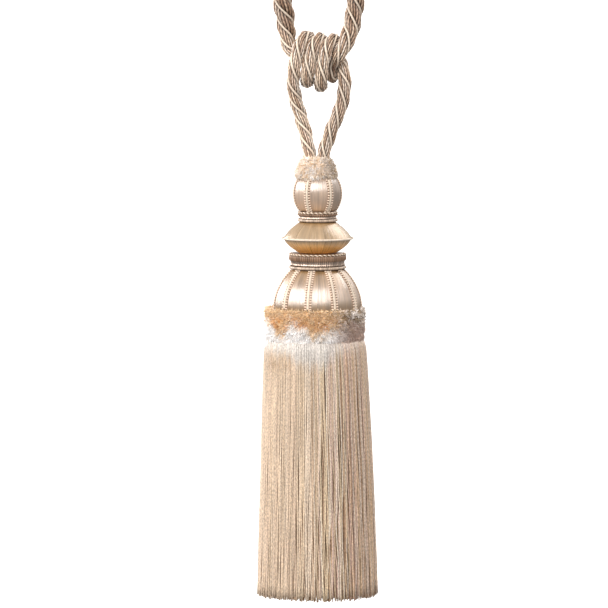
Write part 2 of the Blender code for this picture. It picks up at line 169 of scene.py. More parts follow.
# The three even wraps.  Columns: x and z of the low turn before it, x of its
# front, and x and z of its top; the last row is the low turn after them.
WRAPS = [
    (-13.2, -68.0, -11.9, -5.5, -43.6), (-5.9, -69.4, -4.5, 1.8, -44.8),
    (1.9, -71.8, 2.9, 9.3, -45.3), (9.1, -66.4, None, None, None),
]
WRAP_RADIUS = 3.35
WRAP_HALF_DEPTH = 7.6
WRAP_STEP = 45
FRONT_FULLNESS = 0.75
RISE_FULLNESS = 0.9
CROSSING = [
    (8.9, 6.0, -64.6, 3.1), (8.2, 2.8, -67.1, 2.8), (7.5, -0.9, -65.0, 2.3),
    (7.9, -1.1, -61.6, 2.1), (9.9, -2.4, -58.2, 2.2), (11.9, -5.0, -54.9, 3.3),
]
RIGHT_ARM = [
    (14.0, -6.0, -50.6, 4.1), (16.3, -4.6, -45.8, 4.6), (18.3, -2.4, -41.0, 4.9),
    (19.6, -1.0, -35.0, 4.9), (20.7, 0.0, -29.2, 4.9), (21.4, 0.0, -23.0, 5.0),
]
LOOP = [
    (21.9, 0.2, -15.5, 5.0), (18.6, 0.4, -3.6, 4.9), (10.6, 0.3, 3.0, 4.75),
    (0.9, 0.0, 4.75, 4.7), (-8.8, -0.3, 3.0, 4.9), (-16.8, -0.4, -3.6, 5.1),
    (-20.1, -0.2, -15.5, 5.3),
]
LEFT_ARM = [
    (-19.6, 0.5, -23.3, 5.4), (-18.8, 1.2, -29.3, 5.4), (-17.9, 2.2, -35.6, 5.2),
    (-17.2, 3.0, -41.6, 4.8), (-16.9, 2.8, -46.4, 4.1), (-15.6, 1.6, -51.0, 3.6),
]
KNOT_CORE = [
    (-10.6, 0.4, -54.4, 3.3), (-3.5, 0.2, -54.6, 3.3), (3.0, 0.2, -54.4, 3.3),
    (8.6, 1.2, -54.0, 2.7), (12.8, 2.4, -57.0, 2.7),
]
RIGHT_LEG = [
    (14.4, 1.8, -62.0, 3.1), (15.0, 1.2, -67.2, 3.5), (15.1, 0.4, -73.0, 3.75),
    (14.2, 0.1, -78.8, 3.75), (12.6, 0.0, -84.6, 3.75), (7.8, -0.3, -96.3, 3.7),
    (3.2, -0.4, -110.5, 3.2), (3.0, -0.5, -113.45, 3.1),
]
CURVE_SAMPLES = 12


def wrap_points():
    """The knot's even wraps: up each front to the right, then straight down the back."""
    points = []
    for index, (wrap, after) in enumerate(zip(WRAPS, WRAPS[1:])):
        low_x, low_z, front, top_x, top_z = wrap
        next_x, next_z = after[:2]
        # the left leg comes in at the first wrap's front; the last ends at its back
        first = 90 if index == 0 else 0
        last = 270 if index == len(WRAPS) - 2 else 360 - WRAP_STEP
        for degrees in range(first, last + 1, WRAP_STEP):
            turn = math.radians(degrees)
            s = degrees / 180
            rising = low_x * (2 * s - 1) * (s - 1) + front * 4 * s * (1 - s) + top_x * s * (2 * s - 1)
            x = rising if s <= 1 else top_x + (next_x - top_x) * (s - 1)
            side, rise = math.sin(turn), -math.cos(turn)
            y = -WRAP_HALF_DEPTH * math.copysign(abs(side) ** FRONT_FULLNESS, side)
            bottom = low_z if s <= 1 else next_z
            swing = math.copysign(abs(rise) ** RISE_FULLNESS, rise)
            z = (top_z + bottom) / 2 + (top_z - bottom) / 2 * swing
            points.append((x, y, z, WRAP_RADIUS))
    return points


def route_points():
    table = LEFT_LEG + wrap_points() + CROSSING + RIGHT_ARM
    table += LOOP + LEFT_ARM + KNOT_CORE + RIGHT_LEG
    return [Vector(row) * MM for row in table]


def smooth_through(points):
    """Centripetal Catmull-Rom curve through the points, radius included."""
    ends = [points[0] * 2 - points[1]] + points + [points[-1] * 2 - points[-2]]
    curve = []
    for before, start, end, after in zip(ends, ends[1:], ends[2:], ends[3:]):
        t1 = math.sqrt((start - before).xyz.length)
        t2 = t1 + math.sqrt((end - start).xyz.length)
        t3 = t2 + math.sqrt((after - end).xyz.length)
        for step in range(CURVE_SAMPLES):
            t = t1 + (t2 - t1) * step / CURVE_SAMPLES
            a1 = before.lerp(start, t / t1)
            a2 = start.lerp(end, (t - t1) / (t2 - t1))
            a3 = end.lerp(after, (t - t2) / (t3 - t2))
            b1 = a1.lerp(a2, t / t2)
            b2 = a2.lerp(a3, (t - t1) / (t3 - t1))
            curve.append(b1.lerp(b2, (t - t1) / (t2 - t1)))
    return curve + [points[-1].copy()]


def even_steps(points, spacing):
    """Rows of (x, y, z, radius) at even arc length along a dense polyline."""
    dense = np.array([tuple(point) for point in points])
    run = run_along(dense[:, :3])
    targets = np.linspace(0.0, run[-1], round(run[-1] / spacing) + 1)
    return np.stack([np.interp(targets, run, dense[:, axis]) for axis in range(4)], axis=1)


# ---- skinning

# Each thread's map is stretched and shifted by amounts of its own
THREAD_STRETCH = (0.8, 1.2)
THREAD_SHIFT = 50 * MM


def tube(path, radius, sides, outward, spin=0.0, relief=1.0):
    """Rings round centre lines (tubes, rows, 3); outward is any rough side way."""
    tangent = unit(np.gradient(path, axis=1))
    out = unit(outward - (outward * tangent).sum(-1, keepdims=True) * tangent)
    across = np.cross(tangent, out)
    shape = path.shape[:2]
    angle = even_turns(sides)
    angle = angle + np.broadcast_to(spin, shape)[..., None]
    reach = np.broadcast_to(radius, shape)[..., None] * relief
    reach = np.broadcast_to(reach, angle.shape)[..., None]
    way = np.cos(angle)[..., None] * out[..., None, :] + np.sin(angle)[..., None] * across[..., None, :]
    return path[..., None, :] + reach * way


def thread_run(rings, spans):
    """Length along each tube at the start and at the end of its first spans."""
    tubes = len(rings)
    run = np.linalg.norm(np.diff(rings.mean(axis=2), axis=1), axis=-1)
    run = np.concatenate((np.zeros((tubes, 1)), np.cumsum(run, axis=1)), axis=1)
    own = np.random.default_rng(tubes).uniform(0.0, 1.0, (2, tubes, 1))
    run = run * mixed(*THREAD_STRETCH, own[0]) + THREAD_SHIFT * own[1]
    end = np.concatenate((run[:, 1:], run[:, -1:]), axis=1)
    return run[:, :spans, None], end[:, :spans, None]


class Skin:
    """Collects skinned rings of points and makes one object of them."""

    def __init__(self):
        self.points, self.tints, self.faces, self.uvs, self.slots = [], [], [], [], []
        self.count = 0

    def add(self, rings, tint, slot=0, closed=False):
        """Rings are (tubes, rows, sides, 3); closed joins the last row to the first."""
        tubes, rows, sides = rings.shape[:3]
        index = np.arange(tubes * rows * sides).reshape(tubes, rows, sides) + self.count
        self.count += index.size
        self.points.append(rings.reshape(-1, 3))
        self.tints.append(np.broadcast_to(tint, rings.shape).reshape(-1, 3))
        upper = index if closed else index[:, :-1]
        lower = np.roll(index, -1, axis=1) if closed else index[:, 1:]
        corners = (upper, np.roll(upper, -1, axis=2), np.roll(lower, -1, axis=2), lower)
        quads = np.stack(corners, axis=-1)
        grid = quads.shape[:3]
        u = np.broadcast_to(np.arange(sides) / sides, grid)
        start, end = (np.broadcast_to(part, grid) for part in thread_run(rings, grid[1]))
        step = 1.0 / sides
        uv = np.stack((u, start, u + step, start, u + step, end, u, end), axis=-1)
        self.faces += quads.reshape(-1, 4).tolist()
        self.uvs.append(uv.reshape(-1, 2))
        band = np.broadcast_to(slot, grid[1:2])
        self.slots.append(np.broadcast_to(band[None, :, None], grid).ravel())
        if not closed:
            self.faces += index[:, 0, ::-1].tolist() + index[:, -1, :].tolist()
            self.uvs.append(np.zeros((2 * tubes * sides, 2)))
            self.slots.append(np.repeat((band[0], band[-1]), tubes))

    def build(self, name, *materials):
        mesh = bpy.data.meshes.new(name)
        mesh.from_pydata(np.concatenate(self.points), [], self.faces)
        mesh.uv_layers.new(name="thread")
        mesh.uv_layers["thread"].data.foreach_set("uv", np.concatenate(self.uvs).ravel())
        tint = mesh.color_attributes.new("tint", "FLOAT_COLOR", "POINT")
        colours = np.pad(np.concatenate(self.tints), ((0, 0), (0, 1)), constant_values=1.0)
        tint.data.foreach_set("color", colours.ravel())
        for material in materials:
            mesh.materials.append(material)
        mesh.polygons.foreach_set("material_index", np.concatenate(self.slots).astype(np.int32))
        mesh.shade_smooth()
        mesh.update()
        return placed(name, mesh)


def dress(item, slot, *nodes):
    """Let a finished piece ride on the tassel and stand for its CAD nodes."""
    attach(item, BODY)
    if nodes:
        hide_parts(*nodes)
    return item


# ---- materials

# Noise along threads, per turn round one and per metre along it
PLY_FIBRES = (40.0, 700.0, 0.0)
THREAD_FIBRES = (14.0, 900.0, 0.0)
THREAD_GRAIN = (1.5, 800.0, 0.0)
WOUND_FINE, WOUND_BROAD = 60.0, 30.0

# The part of a noise that is stretched, and of the herringbone with its painted shade in the twist's valleys
NOISE_MIDDLE = (0.3, 0.7)
RIDGE_RISE, RIDGE_SHADE = (0.05, 0.3), (0.55, 1.08)

# A Wave texture's scale for waves one unit long, and a Mix node's colour sockets
ONE_WAVE = math.tau / 20.0
THREAD_PLIES = 2.0
MIX_FIRST, MIX_SECOND, MIX_RESULT = 6, 7, 2


def new_material(name, roughness, **settings):
    """A Principled material whose constants sit on the shader's own sockets."""
    material = bpy.data.materials.new(name)
    material.use_nodes = True
    shader = material.node_tree.nodes["Principled BSDF"]
    shader.inputs["Roughness"].default_value = roughness
    for socket, value in settings.items():
        shader.inputs[socket.replace("_", " ")].default_value = value
    return material, material.node_tree, shader


def outputs_of(tree, kind, inputs=(), **settings):
    """A new node's outputs; each of its inputs is linked, or given a value."""
    node = tree.nodes.new(f"ShaderNode{kind}")
    for setting, value in settings.items():
        setattr(node, setting, value)
    for socket, value in dict(inputs).items():
        if isinstance(value, bpy.types.NodeSocket):
            tree.links.new(value, node.inputs[socket])
        else:
            node.inputs[socket].default_value = value
    return node.outputs


def thread_space(tree, scale):
    """The thread map: u once round a thread, v along it in metres, then scaled."""
    threads = outputs_of(tree, "UVMap", uv_map="thread")["UV"]
    return outputs_of(tree, "Mapping", {"Vector": threads, "Scale": scale})["Vector"]


def place_space(tree, drawn_out=1.0):
    """Object coordinates in metres; drawn_out lengthens what they carry along Z."""
    place = outputs_of(tree, "TexCoord")["Object"]
    scale = (1.0, 1.0, 1.0 / drawn_out)
    return outputs_of(tree, "Mapping", {"Vector": place, "Scale": scale})["Vector"]


def noise(tree, space, scale, detail):
    return outputs_of(tree, "TexNoise", {"Vector": space, "Scale": scale, "Detail": detail})["Fac"]


def mapped(tree, value, source, target):
    """Stretch a value's source range to the target range, and hold it within."""
    ends = zip(("From Min", "From Max", "To Min", "To Max"), (*source, *target))
    return outputs_of(tree, "MapRange", {"Value": value, **dict(ends)})["Result"]


def computed(tree, operation, first, second):
    return outputs_of(tree, "Math", {0: first, 1: second}, operation=operation)["Value"]


def shaded(tree, colour, factor):
    """A colour times a grey factor."""
    inputs = {"Factor": 1.0, MIX_FIRST: colour, MIX_SECOND: factor}
    return outputs_of(tree, "Mix", inputs, data_type="RGBA", blend_type="MULTIPLY")[MIX_RESULT]


def varied(tree, colour, space, low, high, scale=1.0, detail=2.0):
    """A colour times a noise, the middle of which goes from low to high."""
    factor = noise(tree, space, scale, detail)
    return shaded(tree, colour, mapped(tree, factor, NOISE_MIDDLE, (low, high)))


def tint_colour(tree):
    return outputs_of(tree, "Attribute", attribute_name="tint")["Color"]


def finished(material, colour, height, distance, strength=1.0):
    """Give a material's shader its colour and its relief."""
    tree = material.node_tree
    shader = tree.nodes["Principled BSDF"]
    bump = outputs_of(tree, "Bump", {"Height": height, "Distance": distance, "Strength": strength})
    tree.links.new(colour, shader.inputs["Base Color"])
    tree.links.new(bump["Normal"], shader.inputs["Normal"])
    return material


def twisted_wave(tree, pitch):
    """The helical ridges of a thread's plies, one more each pitch along it."""
    inputs = {"Vector": thread_space(tree, (THREAD_PLIES, 1.0 / pitch, 0.0)), "Scale": ONE_WAVE}
    return outputs_of(tree, "TexWave", inputs, wave_type="BANDS", bands_direction="DIAGONAL")["Fac"]


def herringbone(tree, pitch):
    """Twist of each yarn round a ply, leaning the other way on every second one."""
    space = thread_space(tree, (PLY_YARNS, 1.0 / pitch, 0.0))
    parts = outputs_of(tree, "SeparateXYZ", {"Vector": space})
    slant = computed(tree, "ADD", computed(tree, "PINGPONG", parts["X"], 1.0), parts["Y"])
    return computed(tree, "PINGPONG", slant, 0.5)


def rope_material(name, roughness, pitch, relief):
    """Plied yarn: its tint, streaks of fibre and the herringbone of its twist, with painted shade in its
    valleys.
    """
    material, tree, _ = new_material(name, roughness)
    colour = varied(tree, tint_colour(tree), thread_space(tree, PLY_FIBRES), 0.82, 1.14, detail=3.0)
    twist = herringbone(tree, pitch)
    # painted shade in the valleys of the herringbone twist
    colour = shaded(tree, colour, mapped(tree, twist, RIDGE_RISE, RIDGE_SHADE))
    return finished(material, colour, twist, relief)


def yarn_material(name, roughness, fibre, pitch, relief, sparkle=0.0, drawn_out=1.0, **settings):
    """Spun thread: its tint, streaks of fibre, clouds, sparkling grain and a twisted ridge."""
    material, tree, _ = new_material(name, roughness, **settings)
    streaks = thread_space(tree, THREAD_FIBRES)
    colour = varied(tree, tint_colour(tree), streaks, 1.0 - fibre, 1.0 + fibre, detail=3.0)
    cloud_scale = 90.0 * drawn_out ** 0.4
    colour = varied(tree, colour, place_space(tree, drawn_out), 0.87, 1.10, cloud_scale, detail=4.0)
    if sparkle:
        grain = thread_space(tree, THREAD_GRAIN)
        colour = varied(tree, colour, grain, 1.0 - sparkle, 1.0 + sparkle)
    return finished(material, colour, twisted_wave(tree, pitch), relief)


def satin_material(name, roughness, threads, streak, metallic, gloss, across):
    """Satin thread wound down a turned form, its gloss spread across the threads."""
    material, tree, shader = new_material(
        name, roughness, Anisotropic=across, Metallic=metallic, IOR=2.0, Specular_IOR_Level=gloss)
    tangent = outputs_of(tree, "Tangent", direction_type="RADIAL", axis="Z")["Tangent"]
    tree.links.new(tangent, shader.inputs["Tangent"])
    fine = thread_space(tree, (threads, WOUND_FINE, 0.0))
    broad = thread_space(tree, (threads / 3.0, WOUND_BROAD, 0.0))
    colour = tint_colour(tree)
    for streaks in (fine, broad):
        colour = varied(tree, colour, streaks, 1.0 - streak, 1.0 + 0.6 * streak)
    colour = varied(tree, colour, place_space(tree), 0.86, 1.10, scale=160.0, detail=5.0)
    uneven = noise(tree, broad, scale=1.5, detail=3.0)
    uneven = mapped(tree, uneven, NOISE_MIDDLE, (0.75 * roughness, 1.4 * roughness))
    tree.links.new(uneven, shader.inputs["Roughness"])
    return finished(material, colour, noise(tree, broad, scale=2.0, detail=4.0), 0.08 * MM)


def pile_material(name):
    """Cut pile: its tint, soft clouds and fine grain."""
    material, tree, _ = new_material(name, 0.85, Sheen_Weight=0.35, Sheen_Roughness=0.4)
    colour = varied(tree, tint_colour(tree), place_space(tree), 0.88, 1.06, scale=420.0, detail=3.0)
    grain = noise(tree, place_space(tree), scale=3200.0, detail=2.0)
    return finished(material, colour, grain, 0.05 * MM, strength=0.5)


def floor_material():
    material, tree, shader = new_material("floor_paint", 0.8)
    cloud = noise(tree, place_space(tree), scale=3.0, detail=2.0)
    inputs = {"Factor": cloud, MIX_FIRST: FLOOR_PAINT[0], MIX_SECOND: FLOOR_PAINT[1]}
    colour = outputs_of(tree, "Mix", inputs, data_type="RGBA")[MIX_RESULT]
    tree.links.new(colour, shader.inputs["Base Color"])
    return material


# ---- camera, light

def make_camera():
    camera = placed("camera", bpy.data.cameras.new("camera"))
    camera.data.lens = camera.data.sensor_width * CAMERA_DISTANCE / PICTURE_WIDTH
    camera.data.clip_start = CAMERA_NEAREST
    camera.data.clip_end = 4.0 * FLOOR_RADIUS
    back = Vector((0.0, -math.cos(CAMERA_ELEVATION), math.sin(CAMERA_ELEVATION)))
    camera.location = PICTURE_CENTRE + back * CAMERA_DISTANCE
    camera.rotation_mode = "QUATERNION"
    camera.rotation_quaternion = (-back).to_track_quat("-Z", "Y")
    bpy.context.scene.camera = camera


def make_sun(name, azimuth, elevation, strength, spread_angle):
    """A far soft light; azimuth 0 comes from the front and 90 from the right."""
    light = bpy.data.lights.new(name, "SUN")
    light.energy = strength
    light.angle = math.radians(spread_angle)
    light.color = LIGHT_COLOUR
    turn, rise = math.radians(azimuth), math.radians(elevation)
    way = Vector((math.sin(turn) * math.cos(rise), -math.cos(turn) * math.cos(rise), math.sin(rise)))
    item = placed(name, light)
    item.rotation_mode = "QUATERNION"
    item.rotation_quaternion = way.to_track_quat("Z", "Y")


def make_world():
    """Soft white surroundings, dimmer from below than from above."""
    world = bpy.data.worlds.new("studio")
    world.use_nodes = True
    tree = world.node_tree
    background = tree.nodes["Background"]
    background.inputs["Color"].default_value = (*LIGHT_COLOUR, 1.0)
    way = outputs_of(tree, "TexCoord")["Generated"]
    height = outputs_of(tree, "SeparateXYZ", {"Vector": way})["Z"]
    tree.links.new(mapped(tree, height, SKY_CHANGE, SKY), background.inputs["Strength"])
    bpy.context.scene.world = world


def make_floor():
    """A flat disc with a sloping rim; it only shows behind the tassel."""
    circle = beside_at(even_turns(FLOOR_SIDES))
    points = np.concatenate((circle * FLOOR_FLAT, circle * FLOOR_RADIUS + UP * FLOOR_RISE))
    inner = np.arange(FLOOR_SIDES)
    after = np.roll(inner, -1)
    rim = np.stack((inner, inner + FLOOR_SIDES, after + FLOOR_SIDES, after), axis=1)
    mesh = bpy.data.meshes.new("floor")
    mesh.from_pydata(points, [], [inner.tolist()] + rim.tolist())
    floor = placed("floor", mesh)
    floor.location.z = CAD_BOX[0].z - FLOOR_DROP
    floor.visible_shadow = False
    floor.visible_diffuse = False
    floor.visible_glossy = False
    floor.data.materials.append(floor_material())


def make_studio():
    bpy.context.scene.view_settings.view_transform = "Standard"
    make_world()
    for light in LIGHTS:
        make_sun(*light)
    make_floor()


# ---- rope

ROPE_ROW = 1.05 * MM
PLIES = 3
PLY_YARNS = 8
YARN_LAY = 17.0 * MM
ROPE_FULLNESS = ((3.4 * MM, 3.75 * MM), (1.19, 1.08))
PLY_RADIUS = 0.485
PLY_OFFSET = 0.515
GROOVE_CORD_RADIUS = 0.6 * MM
GROOVE_CORD_OFFSET = 0.74
GROOVE_CORD_SIDES = 8

# Round one yarn of a ply: share of the ply's radius, and painted shade, darkest in the gap between yarns
YARN_RELIEF = (0.62, 0.90, 1.0, 0.90)
YARN_SHADE = ((0.09, 0.06, 0.04), (0.58, 0.53, 0.49), (1.2, 1.2, 1.2), (0.58, 0.53, 0.49))

# Painted shade of a ply towards the rope's grooves, by degrees from its outermost line
GROOVE_SHADE = ((50.0, 76.0), (1.0, 0.35))

# Painted shade on the rope: shares of its colour at heights, darkest up the arms,
# on the right leg and in the knot's hollow; the groove cords' share is how far they follow it
ROPE_SHADE_BY_HEIGHT = ((-78 * MM, -66 * MM, -56 * MM, -34 * MM), (1.05, 1.0, 1.0, 0.57))
PAINTED_SHADE_HUE = np.array((1.0, 1.2, 1.35))
CORD_SHADE_SHARE = 0.4
RIGHT_LEG_SHARE = 0.70
LEG_TOP = -66.0 * MM
LEG_FADE = 4.0 * MM
LEG_OUT = 8.0 * MM
KNOT_HOLLOW = (8.0 * MM, -0.5 * MM, -61.5 * MM)
KNOT_HOLLOW_SIZE = 4.2 * MM
KNOT_HOLLOW_SHARE = 0.25

CREAM = np.array((0.60, 0.50, 0.40))
PEACH = np.array((0.80, 0.66, 0.53))
ROPE_YARNS = np.array(((0.95, 0.76, 0.59), (1.0, 0.88, 0.77), (0.91, 0.71, 0.57), (0.58, 0.40, 0.28)))


def side_ways(points):
    """Side vectors along a line that don't spin about it, by double reflection."""
    tangents = unit(np.gradient(points, axis=0))
    side = unit(np.cross(tangents[0], (0.0, 1.0, 0.0)))
    sides = [side]
    for start, end, way, after in zip(points, points[1:], tangents, tangents[1:]):
        step = end - start
        side = side - 2.0 * step.dot(side) / step.dot(step) * step
        turned_way = way - 2.0 * step.dot(way) / step.dot(step) * step
        change = after - turned_way
        side = side - 2.0 * change.dot(side) / max(change.dot(change), 1e-18) * change
        sides.append(side)
    sides = np.array(sides)
    return sides, np.cross(tangents, sides)


def rope_painted_shade(path):
    """Painted shade along the rope, up the arms, on the right leg and in the knot's hollow: share of the
    yarns' colour, as (rows, 1, 1).
    """
    right_leg = clipped((LEG_TOP - path[:, 2]) / LEG_FADE) * clipped(path[:, 0] / LEG_OUT)
    inside = np.linalg.norm(path - np.array(KNOT_HOLLOW), axis=1) / KNOT_HOLLOW_SIZE
    shade_share = np.interp(path[:, 2], *ROPE_SHADE_BY_HEIGHT) * mixed(1.0, RIGHT_LEG_SHARE, right_leg)
    return (shade_share * mixed(1.0, KNOT_HOLLOW_SHARE, np.exp(-inside ** 2)))[:, None, None]


def ply_tint(spin, shade_share, chance):
    """Each yarn's own colour round a ply, with painted shade between yarns and in the rope's grooves, and the
    rope's painted shade along it.
    """
    pick = chance.permutation(np.arange(PLY_YARNS) % len(ROPE_YARNS))
    tint = np.repeat(ROPE_YARNS[pick], len(YARN_RELIEF), axis=0) * np.tile(YARN_SHADE, (PLY_YARNS, 1))
    angle = even_turns(len(tint)) + spin[:, None]
    from_outward = np.degrees(np.abs((angle + math.pi) % math.tau - math.pi))
    return tint * shade_share ** PAINTED_SHADE_HUE * np.interp(from_outward, *GROOVE_SHADE)[..., None]


def make_rope(yarn, satin_cord):
    """Three plies laid round the route, with a satin cord in each groove."""
    route = even_steps(smooth_through(route_points()), ROPE_ROW)
    path = route[:, :3]
    radius = route[:, 3] * np.interp(route[:, 3], *ROPE_FULLNESS)
    run = np.arange(len(path)) * ROPE_ROW
    spin = math.tau * run / YARN_LAY
    side, other = side_ways(path)
    relief = np.tile(YARN_RELIEF, PLY_YARNS)
    # painted shade along the rope: darker up the arms, on the right leg and in the knot's hollow
    shade_share = rope_painted_shade(path)
    chance = np.random.default_rng(11)

    def laid(turn, offset):
        """A line laid round the route at an offset, and its outward ways."""
        phase = (turn - math.tau * run / ROPE_LAY)[:, None]
        outward = np.cos(phase) * side + np.sin(phase) * other
        return (path + outward * (radius * offset)[:, None])[None], outward[None]

    plies, cords = Skin(), Skin()
    for ply in range(PLIES):
        turn = math.tau * ply / PLIES
        centre, outward = laid(turn, PLY_OFFSET)
        rings = tube(centre, radius * PLY_RADIUS, len(relief), outward, spin, relief)
        plies.add(rings, ply_tint(spin, shade_share, chance))
        centre, outward = laid(turn + math.pi / PLIES, GROOVE_CORD_OFFSET)
        rings = tube(centre, GROOVE_CORD_RADIUS, GROOVE_CORD_SIDES, outward)
        # the groove cords take part of the rope's painted shade
        cords.add(rings, PEACH * shade_share ** CORD_SHADE_SHARE)
    rope = dress(plies.build("rope_laid", yarn), "rope_yarn", "rope")
    groove_cords = dress(cords.build("rope_groove_cords", satin_cord), "satin_cord")


# ---- turned head

# Round one thread: how far its points stand in or out, and the flutes' depth.
# A winding is its threads, rows, unevenness and seed.
THREAD_SHAPE = (-1.0, 0.6, 0.6)
THREAD_RELIEF = 0.09

BALL_WINDING = (190, 44, 0.05 * MM, 1)
BALL_TOP_TURN = 0.06
BALL_TAUPE = np.array((0.45, 0.31, 0.215))
BALL_FOOT = np.array((0.60, 0.365, 0.205))
# painted shade on the ball's right side
BALL_RIGHT_PAINTED_SHADE = 0.68

DOME_WINDING = (260, 36, 0.06 * MM, 2)
SATIN_TAUPE = np.array((0.43, 0.295, 0.20))
SATIN_GOLD = np.array((0.36, 0.21, 0.09))

# The spindle: radii at its ends, bow of its two cones, and its ridge past the solid
SPINDLE_WINDING = (240, 34, 0.05 * MM, 3)
SPINDLE_NECK, SPINDLE_FOOT = 10.2 * MM, 10.8 * MM
UPPER_BOW, LOWER_BOW = 1.1 * MM, 1.4 * MM
SPINDLE_RIDGE = 0.3 * MM
SPINDLE_TAN = np.array((0.40, 0.27, 0.15))
# orange painted on the lower cone as warm bounce light between the satin threads
SPINDLE_BOUNCE_ORANGE = np.array((1.0, 0.50, 0.13))


def turned(profile, threads, rows, wobble=0.0, seed=0, relief=THREAD_RELIEF):
    """Rings down a profile of (radius, height), fluted by its threads."""
    profile = np.array(profile)
    run = run_along(profile)
    steps = np.linspace(0.0, run[-1], rows)
    radius = np.interp(steps, run, profile[:, 0])[:, None]
    height = np.interp(steps, run, profile[:, 1])[:, None]
    points_each = len(THREAD_SHAPE)
    angle = -even_turns(points_each * threads)[None]
    flute = np.tile(THREAD_SHAPE, threads)[None] * relief * math.pi / threads
    uneven = np.random.default_rng(seed).uniform(-1.0, 1.0, (1, threads)).repeat(points_each, axis=1)
    reach = radius * (1.0 + flute) + wobble * uneven * np.minimum(1.0, radius / np.max(radius))
    points = np.stack((reach * np.cos(angle), reach * np.sin(angle), height + 0.0 * reach), axis=-1)
    return points[None]


def down_tint(rings, *stops):
    """Colours by height: stops of (height, colour), from the top down."""
    heights = np.array([height for height, _ in stops])[::-1]
    colours = np.array([colour for _, colour in stops])[::-1]
    return np.stack([np.interp(rings[..., 2], heights, colours[:, part]) for part in range(3)], axis=-1)


def ball_size():
    """The ball's radius, the height of its centre, and its foot."""
    low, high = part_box("ball")
    return (high.x - low.x) / 2, high.z - BALL_HALF_HEIGHT, low.z


def ball_radius(height):
    radius, centre, _ = ball_size()
    share = (height - centre) / BALL_HALF_HEIGHT
    return radius * np.sqrt(np.maximum(0.0, 1.0 - share * share))


def dome_radius(height):
    low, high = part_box("dome")
    share = np.abs(height - DOME_WIDEST) / DOME_CURVE_HEIGHT
    radius = (high.x - low.x) / 2
    return radius * (1.0 - share ** DOME_ROUNDNESS) ** (1.0 / DOME_ROUNDNESS)


def make_ball(satin):
    radius, centre, foot = ball_size()
    turns = np.linspace(BALL_TOP_TURN, math.acos((foot - centre) / BALL_HALF_HEIGHT), 40)
    profile = np.stack((radius * np.sin(turns), centre + BALL_HALF_HEIGHT * np.cos(turns)), axis=1)
    rings = turned(profile, *BALL_WINDING)
    tint = down_tint(rings, (foot + 7 * MM, BALL_TAUPE), (foot + 2 * MM, BALL_FOOT))
    skin = Skin()
    # the right side darkened: painted shade
    skin.add(rings, tint * mixed(1.0, BALL_RIGHT_PAINTED_SHADE, ramp(rings[..., :1] / radius, 0.3, 2.5)))
    dress(skin.build("ball_satin", satin), "satin_thread", "ball")


def make_dome(satin):
    low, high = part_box("dome")
    heights = np.linspace(high.z, low.z, 48)
    rings = turned(np.stack((dome_radius(heights), heights), axis=1), *DOME_WINDING)
    skin = Skin()
    # painted shade at the foot, where the dome turns in above the ruff
    skin.add(rings, down_tint(
        rings, (high.z, SATIN_GOLD), (high.z - 10 * MM, SATIN_TAUPE), (RUFF_TOP + 6 * MM, SATIN_TAUPE),
        (RUFF_TOP + 2 * MM, SATIN_GOLD * 0.7)))
    dress(skin.build("dome_satin", satin), "satin_thread", "dome")


def cone(start, end, bow):
    """A profile from one (radius, height) to another that bows out between them."""
    share = np.linspace(0.0, 1.0, 14)[:, None]
    line = mixed(np.array(start), np.array(end), share)
    return line + np.array((bow, 0.0)) * np.sin(math.pi * share)


def make_spindle(satin, cord):
    low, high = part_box("spindle")
    cord_low, cord_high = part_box("spindle_cord")
    middle = (cord_low.z + cord_high.z) / 2
    ridge = ((high.x - low.x) / 2 + SPINDLE_RIDGE, middle)
    upper = cone((SPINDLE_NECK, high.z), ridge, UPPER_BOW)
    lower = cone(ridge, (SPINDLE_FOOT, low.z), LOWER_BOW)
    rings = turned(np.concatenate((upper, lower[1:])), *SPINDLE_WINDING)
    skin = Skin()
    # the orange towards the foot is painted warm bounce light
    skin.add(rings, down_tint(
        rings, (high.z, SATIN_GOLD), (high.z - 3 * MM, SPINDLE_TAN), (middle, SPINDLE_TAN),
        (middle - 1 * MM, SPINDLE_TAN * 1.1), (middle - 5 * MM, SPINDLE_BOUNCE_ORANGE)))
    dress(skin.build("spindle_satin", satin), "satin_thread", "spindle")
    make_wrapped_cord("spindle_cord", cord, CREAM * 1.12, 0.1)


# ---- cords and rings

# A wrapped cord: width of one turn of its thread, and its dip between turns
CORD_WRAP, WRAP_DIP = 0.36 * MM, 0.93

# A twisted cord: pitch, rows in one, and its strands' offset and radius as shares
CORD_TWIST, TWIST_ROWS = 2.5 * MM, 8
STRAND_OFFSET, STRAND_SHARE = 0.5, 0.6

# A ring's profile: radius at the axis, room by its cords, how far the upper cord
# is let in, then the band and the groove between the cords
RING_CORE = 0.2 * MM
CORD_ROOM = 0.3 * MM
PIPING_SHARE = 0.35
RIM_STEP = 0.25 * MM
BAND_DEPTH, BAND_BELLY = 0.1 * MM, 0.25 * MM
GROOVE_BELLY, GROOVE_LEAN = -0.3 * MM, 0.25 * MM
GROOVE_EDGE, GROOVE_FADE = 0.4 * MM, 0.3 * MM

# Its winding: a stroke's width, relief and shade, the shade painted dark in the valley between strokes
STROKE_WIDTH = 1.25 * MM
STROKE_RELIEF = 0.35
STROKE_SHADE = (0.3, 1.2, 1.2)
BAND_TAN = np.array((0.27, 0.16, 0.10))
GROOVE_TAN = np.array((0.46, 0.345, 0.275))
RING_BROWN = np.array((0.22, 0.13, 0.07))
RING_CREAM = np.array((0.46, 0.35, 0.265))


def cord_ring_size(node):
    """Radius of the ring's centre line, its height, and the cord's own radius."""
    low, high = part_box(node)
    cord_radius = (high.z - low.z) / 2
    return (high.x - low.x) / 2 - cord_radius, (high.z + low.z) / 2, cord_radius


